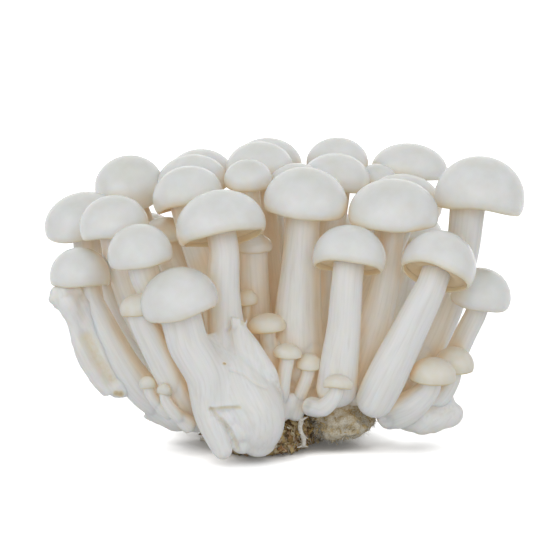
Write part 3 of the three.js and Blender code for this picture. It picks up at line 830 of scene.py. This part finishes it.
# the bulb's swellings: the height on the stem, how far from there, and the half sizes (mm)
SWELLINGS = [
    (9.3, (-4.6, -2.9, 0.2), (3.6, 3.4, 3.8)),
    (5.4, (-3.8, -2.4, 0.2), (3.2, 3.0, 3.1)),
    (3.5, (2.3, -1.8, 0.1), (1.4, 1.3, 1.1)),
    (12.8, (-6.6, -3.4, 0), (3.2, 3.4, 4.2)),
]
for height, offset, half in SWELLINGS:
    shapes.append(lump(at_height(right, [height * MM])[0, :3] / MM + offset, half))

# the torn end of the stub: splinters by where they stand, how long and how thick they are (mm)
SPLINTERS = [
    (-0.9, -0.5, 4.3, 1.2), (0.0, -0.6, 4.0, 1.3), (0.7, 0, 3.2, 1.1), (1.5, 0.1, 3.6, 0.55),
    (0.2, 0.8, 3.4, 0.9),
]
torn_end = stub[-1, :3] / MM
for *place, length, thick in SPLINTERS:
    foot = torn_end + (*place, -1.6)
    lean = np.array([0.12 * place[0] + 0.05, 0.2 * place[1], 1.0])
    steps = np.linspace(0, 1, 5)
    splinter = np.array([[*(foot + lean * k * (length + 0.6)), thick * (1 - 0.6 * k)] for k in steps]) * MM
    shapes.append(closed_rings(tube(splinter, 10)))
points, faces, normals = skin_round("front_pair", shapes, voxel=0.34, soften=5)

# cuts and folds on the front of the bulb
front = normals[:, 1] < 0.1
lip = trail_on(right, [(15.7, -9.5), (15.9, -5.5), (16.0, -2.0)])
crack = trail_on(right, [(15.4, -9.5), (12.5, -8.6), (10.5, -7.9), (8.6, -6.9), (6.3, -5.6), (4.4, -4.9)])
fold = trail_on(right, [(24.7, -0.6), (23.6, 2.1), (21.5, 4.1), (20.1, 6.7)])
speck = trail_on(right, [(26.4, -1.8), (26.2, -1.5)])
stub_side = trail_on(right, [(34, 0.9), (29.7, 0), (26.4, -0.4)])
for trail, width, depth in ((crack, 0.5, 1.1), (fold, 0.35, 0.4), (stub_side, 1.0, 0.3), (speck, 0.3, 0.3)):
    points -= normals * (band(from_trail(points, trail), width) * front)[:, None] * depth * MM
# the skin steps back under the lip, and swells a little over it
above = points[:, 2] - np.interp(points[:, 0], lip[:, 0], lip[:, 1])
along_lip = (points[:, 0] > lip[0, 0]) & (points[:, 0] < lip[-1, 0]) & front
fade = np.clip((lip[-1, 0] - points[:, 0]) / (2 * MM), 0, 1) * along_lip
points[:, 1] += 0.8 * MM * fade * (above < 0) * np.clip(1 + above / (3.0 * MM), 0, 1) ** 0.7
points[:, 1] -= 0.2 * MM * fade * (above >= 0) * np.clip(1 - above / (1.2 * MM), 0, 1)
# yellow marks along trails and in spots, each with its width in millimetres and its strength: a
# stain with painted shadow under the lip, stains with painted shade in the crease along the crack
# and the fold, and plain stains at the speck and the spots
stain_and_shade = np.zeros(len(points))
below_lip = lip - (0, 0.4 * MM)
# the lip, crack and fold trails carry painted shade in their creases as well as stain
stain_and_shade_trails = [(below_lip, 0.6, 0.36), (crack, 0.5, 0.32), (fold, 0.25, 0.2), (speck, 0.24, 1.2)]
for trail, width, strength in stain_and_shade_trails:
    stain_and_shade = np.maximum(stain_and_shade, strength * band(from_trail(points, trail), width) * front)
bulb_end = at_height(right, [5.4 * MM])[0, :3] / MM + (2.3, -1.8, -1.2)
spots = [(left[0, :3] / MM, 2.6, 0.25), (bulb_end, 1.5, 0.5), (torn_end + (1.0, 0, 1.8), 1.4, 0.35)]
for place, width, strength in spots:
    stain_and_shade = np.maximum(stain_and_shade, strength * band(np.linalg.norm(points - place * MM, axis=1), width))
pair = ["front_left_mushroom", "front_center_mushroom"]
skin = patch(points, faces, "stem", grain_along(points, pair, 1.0))
make_piece("front_pair_flesh", [skin], {"stem": finishes["stem"]}, [*pair, "broken_stub"], stain_and_shade)


# ==== Young mushrooms and pins ================================================================
# Small fruit bodies that stopped growing beside the large ones: the same flesh on a smaller
# scale, with rounder and creamier caps that still hug their stems.

def young_skin():
    """Skin of a young cap: cream, with a thin yellow line round the margin."""
    material = new_material("cream_young_skin")
    grain = add(material, "Attribute", **GRAIN)
    tones = [(0.0, "#E3D09C"), (0.08, "#F1ECE0"), (0.5, "#F5F3ED"), (1.0, "#F3F1E8")]
    color = add(material, "ValToRGB", {"Fac": add(material, "Attribute", **RISE)}, stops=tones)
    wide = add(material, "TexNoise", {"Vector": grain, "Scale": 1 / (2.2 * MM), "Detail": 3.0})
    clouds = add(material, "ValToRGB", {"Fac": wide}, stops=[(0.3, "#FAF6EC"), (0.7, "#FFFFFF")])
    color = add(material, "Mix", {FACTOR: 0.8, FIRST: color, SECOND: clouds}, **MULTIPLY)
    fine = add(material, "TexNoise", {"Vector": grain, "Scale": 1 / (0.3 * MM), "Detail": 3.0})
    return finish_flesh(material, painted_shade_and_stains(material, color), fine, 0.02, 0.5, 1.4)


young_finishes = {**finishes, "cap": young_skin()}
PLUMP = 1.08
YOUNG_NECK = -6
for seed, node in enumerate(nodes_of("young_mushroom")):
    rng = np.random.default_rng(200 + seed)
    cap = read_cap(node)
    line = stem_line(node, cap, step=0.45 * MM)
    line[:, 3] *= PLUMP
    if node == "front_pin_bent":
        # its lower end is held clear of the felt
        line[:, 2] += np.interp(arc_length(line), [0, 7 * MM], [2.3 * MM, 0])
    stems[node], shifts[node] = line, rng.uniform(-1, 1, 3)
    patches = [cap_patch(cap, 44, rng), gill_patch(cap, line[YOUNG_NECK, 3], rng)]
    patches.append(stem_patch(line, 30, rng, shifts[node]))
    make_piece(node + "_flesh", patches, young_finishes, [node])


# ==== The fused foot ==========================================================================
# The stems grow together below into one white mass of tissue, spread wide to the left and right.
# It is one skin here: each stem runs down into it without a seam.

def flare(line, length, stout=1.07):
    """The lowest stretch of a stem, a little stouter below and drawn in at its upper end."""
    along = arc_length(line)
    short = line[along < length].copy()
    share = along[along < length] / length
    short[:, 3] *= stout - (stout - 0.91) * share**2
    short = np.vstack([short, [*(2 * short[-1, :3] - short[-2, :3]), short[-1, 3] * 0.4]])
    return closed_rings(tube(short, 24))


def waves_at(points, size, seed):
    """Smooth noise between -1 and 1, whose swells are about that many millimetres across."""
    return np.array([noise.noise(Vector(p / (size * MM)) + Vector((seed, 0, 0))) for p in points])


shapes = [solid_of(node) for node in ("fused_foot", "left_root_lobe", "right_root_tip")]
for node, line in stems.items():
    tall = line[-1, 2] > 30 * MM
    slight = line[:, 3].max() < 2.2 * MM
    if node not in (*FREE_ENDED, *LOWEST):
        shapes.append(flare(line, (17 if tall else 7) * MM, 1.4 if slight else 1.07))
# a sheet of flesh joins the stunted stem on the far left to the stem beside it
stunted = smooth_line(resample(read_line("left_aborted_stem", 15.5, 41), 0.8 * MM), 4)
stunted[:, 3] *= np.interp(stunted[:, 2] / MM, [24, 30, 36, 39], [1.05, 0.85, 0.85, 1])
shapes.append(closed_rings(tube(stunted, 32)))
beside = stems["far_left_low_mushroom"]
shapes += between(stunted, beside, 16, 43, (0.15, 0.3, 0.45, 0.6, 0.75, 0.9), slim=0.8, fade=5)
# its end is a crumpled ear of small lobes
ear = stunted[-1, :3] / MM
EAR_LOBES = [
    (-2.2, 0.3, 0.4, 2.0), (-3.0, -0.3, -1.2, 1.5), (-1.9, 0.4, -2.6, 1.5), (-0.4, -0.2, 1.2, 1.8),
    (2.4, 0.6, 1.2, 1.9), (1.3, 0.2, -0.4, 2.3), (0.2, -0.4, -2.4, 2.1), (1.2, 0.2, -4.4, 2.5),
    (-1.0, 0, -0.8, 2.2),
]
shapes += lumps(ear, EAR_LOBES, (1, 0.75, 1))
# scalloped lower edge of the right lobes
right_lobe = np.array(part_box("right_root_lobe")).mean(axis=0) / MM
SCALLOPS = [
    (-1.2, 1.4, 0.9, 3.6), (1.6, 0.8, 0.1, 4.2), (4.6, 0.2, -0.3, 4.3), (7.6, 0.8, -0.1, 4.1),
    (10.0, 1.8, 0.2, 3.8), (12.2, 2.8, 0.3, 3.3), (9.5, 4.5, 3.0, 4.0),
]
shapes += lumps(right_lobe, SCALLOPS)
# low swellings where the pins leave the foot, beside the bulb
nook = at_height(stems["front_pin_middle"], [17.0 * MM])[0, :3] / MM
PIN_ROOTS = [(-2.6, -0.8, 2.2, 1.9), (-1.6, -0.8, -0.4, 2.3), (-0.4, 0.2, -2.8, 2.3), (2.4, 0.8, -3.2, 2.2)]
shapes += lumps(nook, PIN_ROOTS, (1, 1, 1.3))
# the torn end of a root on the left, with small shreds round it
torn_root = np.array(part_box("left_frayed_end")).mean(axis=0) / MM + (-3.1, -2.6, 5.3)
SHREDS = [
    (-0.9, 0, -0.8, 1.1), (0.3, -0.4, -1.1, 0.9), (1.3, -0.3, -0.7, 1.0), (-0.2, -0.8, 0.2, 1.0),
    (1.9, -0.4, 0.2, 0.8),
]
shapes += lumps(torn_root, SHREDS)
points, faces, normals = skin_round("fused_foot", shapes, voxel=0.56, soften=5)
points += normals * (0.3 * waves_at(points, 5, 3) + 0.12 * waves_at(points, 1.6, 9))[:, None] * MM

# a long hollow beside the stunted stem and a cleft beside the torn root
hollow = trail_on(stunted, [(30, 2.6), (24, 3.0), (19, 2.6)])
cleft = (torn_root[[0, 2]] + np.array([[3.0, -2.2], [3.8, 1.5]])) * MM
front = normals[:, 1] < 0.1
carved = 1.1 * band(from_trail(points, hollow), 1.7) * front + 1.3 * band(from_trail(points, cleft), 0.7)
points -= normals * carved[:, None] * MM
# yellow marks: painted shade in the hollow, yellower towards the table under the right lobes,
# and stains in spots (their width and strength)
# painted shade: the hollow is yellowed where shade gathers in it
stain_and_shade = 0.34 * band(from_trail(points, hollow), 2.0) * front
under_lobes = (points[:, 0] > 20 * MM) * np.clip((7.5 * MM - points[:, 2]) / (4 * MM), 0, 1)
stain_and_shade = np.maximum(stain_and_shade, 0.3 * under_lobes)
spots = [
    (torn_root + (-0.5, 0, -0.1), 0.8, 0.75), (torn_root + (0.6, 0, -0.3), 0.9, 0.85),
    (torn_root + (5.6, 0, -2.6), 1.2, 0.6), (torn_root + (17.0, 0, -9.0), 1.6, 0.6),
    (ear + (-3, 0, -1), 2.0, 0.15),
]
for place, width, strength in spots:
    apart = np.linalg.norm((points - place * MM)[:, (0, 2)], axis=1)
    stain_and_shade = np.maximum(stain_and_shade, strength * band(apart, width) * front)
names = [name for name in stems if name not in FREE_ENDED]
skin = patch(points, faces, "stem", grain_along(points, names, 26 * MM))
lobes = [node for node in nodes_of("foot_tissue") if node != "broken_stub"]
make_piece("fused_foot_flesh", [skin], {"stem": finishes["stem"]}, lobes, stain_and_shade)


# ==== The sawdust plug ========================================================================
# The clump is cut from its bottle with some of what it grew on: sawdust and bran, pressed and
# bound by fine white threads.

def scattered(points, triangles, count, rng):
    """Places spread evenly over a solid's skin, with the way that it faces at each."""
    a, b, c = (points[triangles[:, k]] for k in range(3))
    normal = np.cross(b - a, c - a)
    area = np.linalg.norm(normal, axis=1)
    pick = rng.choice(len(triangles), count, p=area / area.sum())
    u, v = rng.random((2, count, 1))
    over = (u + v > 1)[:, 0]
    u[over], v[over] = 1 - u[over], 1 - v[over]
    return a[pick] + (b - a)[pick] * u + (c - a)[pick] * v, unit(normal[pick])


def sliver_sizes(count, length, width, thick, rng):
    """Length, width and thickness of slivers: a few are much longer than the rest."""
    step, least = length
    sizes = [rng.gamma(3.0, step, count) + least, rng.uniform(*width, count), rng.uniform(*thick, count)]
    return np.stack(sizes, axis=1) * MM


def slivers(place, out, sizes, tones, rng):
    """Wood slivers lying roughly flat on a skin: uneven little blocks, each of one tone."""
    count = len(place)
    tilted = unit(out + rng.normal(0, 0.35, (count, 3)))
    along = unit(np.cross(tilted, rng.normal(size=(count, 3))))
    across = np.cross(tilted, along)
    signs = np.array([[x, y, z] for x in (-1, 1) for y in (-1, 1) for z in (-1, 1)], dtype=float)
    corners = signs * rng.uniform(0.55, 1.1, (count, 8, 3)) * sizes[:, None] / 2
    frame_of = np.stack([along, across, tilted], axis=1)
    corners = place[:, None] + np.einsum("nci,nij->ncj", corners, frame_of)
    block = np.array([[0, 1, 3, 2], [4, 6, 7, 5], [0, 4, 5, 1], [2, 3, 7, 6], [0, 2, 6, 4], [1, 5, 7, 3]])
    faces = (np.arange(count)[:, None, None] * 8 + block).reshape(-1, 4).tolist()
    return patch(corners.reshape(-1, 3), faces, "slivers", None, np.repeat(tones, 8))


def rough_finish(material, color, bump, depth):
    """A dry rough finish with no film on it."""
    relief = add(material, "Bump", {"Height": bump, "Distance": depth * MM, "Strength": 1.0})
    shader = add(material, "BsdfPrincipled", {"Base Color": color, "Roughness": 0.9, "Normal": relief})
    add(material, "OutputMaterial", {"Surface": shader})
    return material


def bran():
    """The fine stuff between the slivers: dark and crumbly, with paler grains."""
    material = new_material("dark_crumbled_bran")
    place = add(material, "NewGeometry", output="Position")
    grains = add(material, "TexNoise", {"Vector": place, "Scale": 1 / (0.6 * MM), "Detail": 4.0})
    tones = [(0.34, "#4A3622"), (0.5, "#8A6F46"), (0.62, "#C4A870"), (0.74, "#E2D3AC")]
    color = add(material, "ValToRGB", {"Fac": grains}, stops=tones)
    coarse = add(material, "TexNoise", {"Vector": place, "Scale": 1 / (2.6 * MM), "Detail": 4.0})
    browns = [(0.35, "#9C7A4C"), (0.55, "#FFFFFF"), (0.7, "#CDBFA6")]
    tint = add(material, "ValToRGB", {"Fac": coarse}, stops=browns)
    color = add(material, "Mix", {FACTOR: 0.8, FIRST: color, SECOND: tint}, **MULTIPLY)
    return rough_finish(material, color, grains, 0.5)


def wood_slivers():
    """Slivers of sawdust: each of one tone, from dark brown through tan to orange and pale."""
    material = new_material("sawdust_slivers")
    tones = [(0.0, "#5A432B"), (0.15, "#957848"), (0.35, "#CCAF72"), (0.55, "#E0CA98"),
             (0.72, "#EEE3C6"), (0.86, "#C08E5A"), (1.0, "#F5EFDE")]
    color = add(material, "ValToRGB", {"Fac": add(material, "Attribute", **RISE)}, stops=tones)
    place = add(material, "NewGeometry", output="Position")
    fine = add(material, "TexNoise", {"Vector": place, "Scale": 1 / (0.25 * MM), "Detail": 3.0})
    shade = add(material, "ValToRGB", {"Fac": fine}, stops=[(0.3, "#C9C2B4"), (0.7, "#FFFFFF")])
    color = add(material, "Mix", {FACTOR: 1.0, FIRST: color, SECOND: shade}, **MULTIPLY)
    return rough_finish(material, color, fine, 0.05)


SLIVERS_ON_PLUG = 5200


def off_sole(points):
    """0 on the cut sole of the plug, rising to 1 over its lowest 1.5 mm."""
    return np.clip(points[:, 2] / (1.5 * MM), 0, 1)


rng = np.random.default_rng(31)
plug = solid_of("sawdust_plug")
points, faces, normals = skin_round("sawdust_plug", [plug], voxel=0.6, soften=2)
# the skin crumbles away unevenly by about a millimetre, and the slivers lie in its hollows
crumbled = 1.2 * waves_at(points, 3.2, 1) + 0.8 * waves_at(points, 1.5, 2) - 0.6
points += normals * (crumbled * off_sole(points))[:, None] * MM
body = patch(points, faces, "bran")
place, out = scattered(*plug, SLIVERS_ON_PLUG, rng)
on_sides = (place[:, 2] > 0.2 * MM) & (out[:, 2] > -0.95)
place, out = place[on_sides], out[on_sides]
sizes = sliver_sizes(len(place), (0.7, 0.6), (0.4, 1.4), (0.15, 0.6), rng)
lift = (1.1 * waves_at(place, 3.2, 1) - 0.4) * off_sole(place)
place = place + out * lift[:, None] * MM
place[:, 2] = np.maximum(place[:, 2], 0.35 * MM)
tones = rng.beta(1.2, 1.2, len(place)) + 0.3 * waves_at(place, 4, 5)
# painted shade: the slivers are darker the higher they lie, darkest right under the stems where
# their shadow falls
tones = np.clip(tones + np.interp(place[:, 2] / MM, [3, 7, 10], [0.12, 0, -0.5]), 0, 1)
plug_finishes = {"bran": bran(), "slivers": wood_slivers()}
patches = [body, slivers(place, out, sizes, tones, rng)]
make_piece("sawdust_plug_body", patches, plug_finishes, ["sawdust_plug"])


# ==== The mycelium ============================================================================
# Fine white threads of the fungus, matted into a grey felt that is folded over the right of the
# plug and frays out there, with single strands hanging down the front.

def matted_threads():
    """Felt of threads: grey-white, with tan where bran shows through."""
    material = new_material("matted_mycelium")
    place = add(material, "NewGeometry", output="Position")
    folds = add(material, "TexNoise", {"Vector": place, "Scale": 1 / (1.8 * MM), "Detail": 4.0})
    tones = [(0.26, "#C0A06A"), (0.38, "#DECCA4"), (0.5, "#EFE8D6"), (0.75, "#FAF8F2")]
    color = add(material, "ValToRGB", {"Fac": folds}, stops=tones)
    fine = add(material, "TexNoise", {"Vector": place, "Scale": 1 / (0.3 * MM), "Detail": 4.0})
    shade = add(material, "ValToRGB", {"Fac": fine}, stops=[(0.3, "#D8CDB6"), (0.65, "#FFFFFF")])
    color = add(material, "Mix", {FACTOR: 0.9, FIRST: color, SECOND: shade}, **MULTIPLY)
    return rough_finish(material, color, fine, 0.25)


def loose_thread():
    """A single thread: white and dull."""
    material = new_material("white_mycelium_thread")
    place = add(material, "NewGeometry", output="Position")
    fine = add(material, "TexNoise", {"Vector": place, "Scale": 1 / (0.8 * MM)})
    color = add(material, "ValToRGB", {"Fac": fine}, stops=[(0.3, "#D6D0C0"), (0.65, "#F2F1EC")])
    return rough_finish(material, color, fine, 0.05)


def threads(starts, out, lengths, thick, droop, rng):
    """Thin wandering threads that leave a skin and bend away."""
    count, stations, columns = len(starts), 6, 4
    way = unit(out + rng.normal(0, 0.9, (count, 3)))
    place = starts.copy()
    path = [place]
    for _ in range(stations - 1):
        way = unit(way + rng.normal(0, 0.35, (count, 3)) + np.array([0, 0, -droop]))
        place = place + way * (lengths / (stations - 1))[:, None]
        path.append(place)
    path = np.stack(path, axis=1)
    path[..., 2] = np.maximum(path[..., 2], 0.1 * MM)
    axis = unit(np.gradient(path, axis=1))
    # nearly upright, but not quite, so that a thread that stands up has its sides too
    first = unit(np.cross(axis, UP + 0.01))
    second = np.cross(axis, first)
    turn = turns(columns)[:, None]
    spokes = first[:, :, None] * np.cos(turn) + second[:, :, None] * np.sin(turn)
    taper = (thick * np.linspace(1, 0.35, stations))[None, :, None, None]
    rings = path[:, :, None] + spokes * taper
    base = (np.arange(count)[:, None, None] * stations + np.arange(stations - 1)[None, :, None]) * columns
    return patch(rings.reshape(-1, 3), ring_faces(base, columns), "threads")


THREADS_ON_FELT = 1500
THREADS_ON_PLUG = 1100

rng = np.random.default_rng(47)
felt = solid_of("mycelium_felt")
points, faces, normals = skin_round("mycelium_felt", [felt], voxel=0.4, soften=3)
# the felt lies in level folds, ragged on a finer scale, thins out towards the left and laps up
# over the foot at its top
folded = 1 - 2 * np.abs(waves_at(points * (1, 1, 2.2), 6, 4))
ragged = waves_at(points, 1.5, 6)
thinned = np.interp(points[:, 0] / MM, [7, 11], [1.6, 0.5])
points += normals * (1.3 * folded + 0.6 * ragged - thinned)[:, None] * MM
points[:, 2] += 1.8 * MM * np.clip((points[:, 2] - 9 * MM) / (3 * MM), 0, 1)
points[:, 2] = np.maximum(points[:, 2], 0.3 * MM)
patches = [patch(points, faces, "felt")]

# fine threads lie all over the felt
place, out = scattered(*felt, THREADS_ON_FELT, rng)
lengths = rng.uniform(0.8, 2.2, len(place)) * MM
patches.append(threads(place, out * 0.25, lengths, 0.05 * MM, 0.1, rng))
# it frays and holds crumbs at its right and lower edges, and in between mostly towards the left
low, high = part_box("mycelium_felt")
share = (place - low) / (np.array(high) - low)
at_edge = (share[:, 0] > 0.93) | (share[:, 2] < 0.12)
at_edge |= rng.random(len(place)) < np.interp(place[:, 0], [low[0], high[0]], [0.45, 0.1])
place, out = place[at_edge], out[at_edge]
lengths = rng.uniform(0.8, 2.0, len(place)) * MM
patches.append(threads(place, out, lengths, 0.1 * MM, 0.1, rng))
sizes = sliver_sizes(len(place), (0.4, 0.3), (0.2, 0.7), (0.1, 0.3), rng)
patches.append(slivers(place + out * 0.2 * MM, out, sizes, rng.uniform(0.45, 0.72, len(place)), rng))
# and fine threads hang from the sides of the plug
place, out = scattered(*plug, THREADS_ON_PLUG, rng)
on_sides = (place[:, 2] > 2 * MM) & (out[:, 2] < 0.8)
place, out = place[on_sides], out[on_sides]
lengths = rng.uniform(0.8, 3.0, len(place)) * MM
patches.append(threads(place, out, lengths, 0.05 * MM, 0.5, rng))

# the thick strand down the front winds a little and forks (the station, and the way it forks in mm)
strand = read_line("mycelium_strand", 1.4, 9.4)
strand[:, 0] += 0.35 * MM * np.sin(np.linspace(0, 7, len(strand)))
patches.append(patch(*closed_rings(tube(strand, 10, uneven_girth(strand, 10, rng))), "threads"))
FORKS = [
    (0, (-1.6, -0.5, -0.3)), (0, (1.3, -0.4, -0.2)), (-1, (-1.4, 0.3, 0.9)), (-1, (1.6, 0.3, 0.7)),
    (4, (1.5, 0.2, -1.2)),
]
for station, way in FORKS:
    start = strand[station, :3]
    steps = np.linspace(0, 1, 6)
    fork = np.array([[*(start + np.array(way) * MM * k), 0.42 * MM * (1 - 0.75 * k)] for k in steps])
    patches.append(patch(*closed_rings(tube(fork, 8)), "threads"))
mycelium_finishes = {"felt": matted_threads(), "threads": loose_thread(), "slivers": plug_finishes["slivers"]}
make_piece("mycelium_skin", patches, mycelium_finishes, nodes_of("mycelium"))


# ==== The studio ==============================================================================
# A plain white table under soft light from all round, stronger from the front left.

def seen_in(material):
    """1 where the camera or a reflection sees the material, 0 where it only lights the clump."""
    camera_ray = add(material, "LightPath", output="Is Camera Ray")
    glossy_ray = add(material, "LightPath", output="Is Glossy Ray")
    return add(material, "Math", {0: camera_ray, 1: glossy_ray}, operation="MAXIMUM")


def floor_paint():
    """White table paint. To the camera it also glows, so that it is white beside the clump. Close
    under things the glow fades, which paints a shadow there over its real shadow."""
    material = new_material("white_table_paint")
    paint = add(material, "BsdfDiffuse", {"Color": "#E7E7E7"})
    seen = seen_in(material)
    # painted shadow: the glow fades where things lie close above the table
    open_sky = add(material, "AmbientOcclusion", {"Distance": 11 * MM}, output="AO", samples=12)
    strength = add(material, "ValToRGB", {"Fac": open_sky}, stops=[(0.25, 0.05), (0.8, 0.9)])
    strength = add(material, "Math", {0: seen, 1: strength}, operation="MULTIPLY")
    glow = add(material, "Emission", {"Color": "#FFFFFF", "Strength": strength})
    total = add(material, "AddShader", {0: paint, 1: glow})
    add(material, "OutputMaterial", {"Surface": total})
    return material


bpy.ops.mesh.primitive_plane_add(size=6.0)
floor = bpy.context.object
floor.name = "table_top"
floor.data.materials.append(floor_paint())
floor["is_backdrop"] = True


def soft_sun(name, azimuth, elevation, strength, spread, color):
    """A broad soft lamp; azimuth 0 shines from the front, 90 from the right."""
    light = bpy.data.lights.new(name, "SUN")
    light.energy, light.angle, light.color = strength, math.radians(spread), color
    lamp = bpy.data.objects.new(name, light)
    a, e = math.radians(azimuth), math.radians(elevation)
    toward = Vector((math.sin(a) * math.cos(e), -math.cos(a) * math.cos(e), math.sin(e)))
    lamp.rotation_euler = toward.to_track_quat("Z", "Y").to_euler()
    bpy.context.scene.collection.objects.link(lamp)


soft_sun("left_softbox", -48, 22, 0.47, 50, (0.98, 0.99, 1.0))
soft_sun("right_softbox", 55, 24, 0.3, 50, (0.98, 0.99, 1.0))
soft_sun("front_fill", 2, 8, 0.55, 44, (1.0, 1.0, 0.99))
soft_sun("backdrop_glow", 180, 14, 0.6, 100, (1.0, 0.99, 0.97))

world = bpy.data.worlds.new("white_room")
bpy.context.scene.world = world
world.use_nodes = True
world.node_tree.nodes.clear()
# white as a background, and dimmer as the light that fills the shadows
strength = add(world, "Math", {0: seen_in(world), 1: 0.43}, operation="MAXIMUM")
background = add(world, "Background", {"Color": "#FFFFFF", "Strength": strength})
add(world, "OutputWorld", {"Surface": background})

camera_data = bpy.data.cameras.new("camera")
camera_data.lens, camera_data.sensor_width = 175.0, 36.0
camera_data.clip_start, camera_data.clip_end = 0.01, 20.0
camera = bpy.data.objects.new("camera", camera_data)
bpy.context.scene.collection.objects.link(camera)
# the camera aims a little above the clump's middle, through the plane of its front stems
aim = (Vector(cad_low) + Vector(cad_high)) / 2
target = Vector((aim.x - 1.5 * MM, aim.y - 10.9 * MM, aim.z + 5.5 * MM))
distance, elevation = 0.70, math.radians(9)
camera.location = target + Vector((0, -math.cos(elevation), math.sin(elevation))) * distance
camera.rotation_euler = (camera.location - target).to_track_quat("Z", "Y").to_euler()
bpy.context.scene.camera = camera
bpy.context.scene.view_settings.view_transform = "Standard"

low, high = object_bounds()
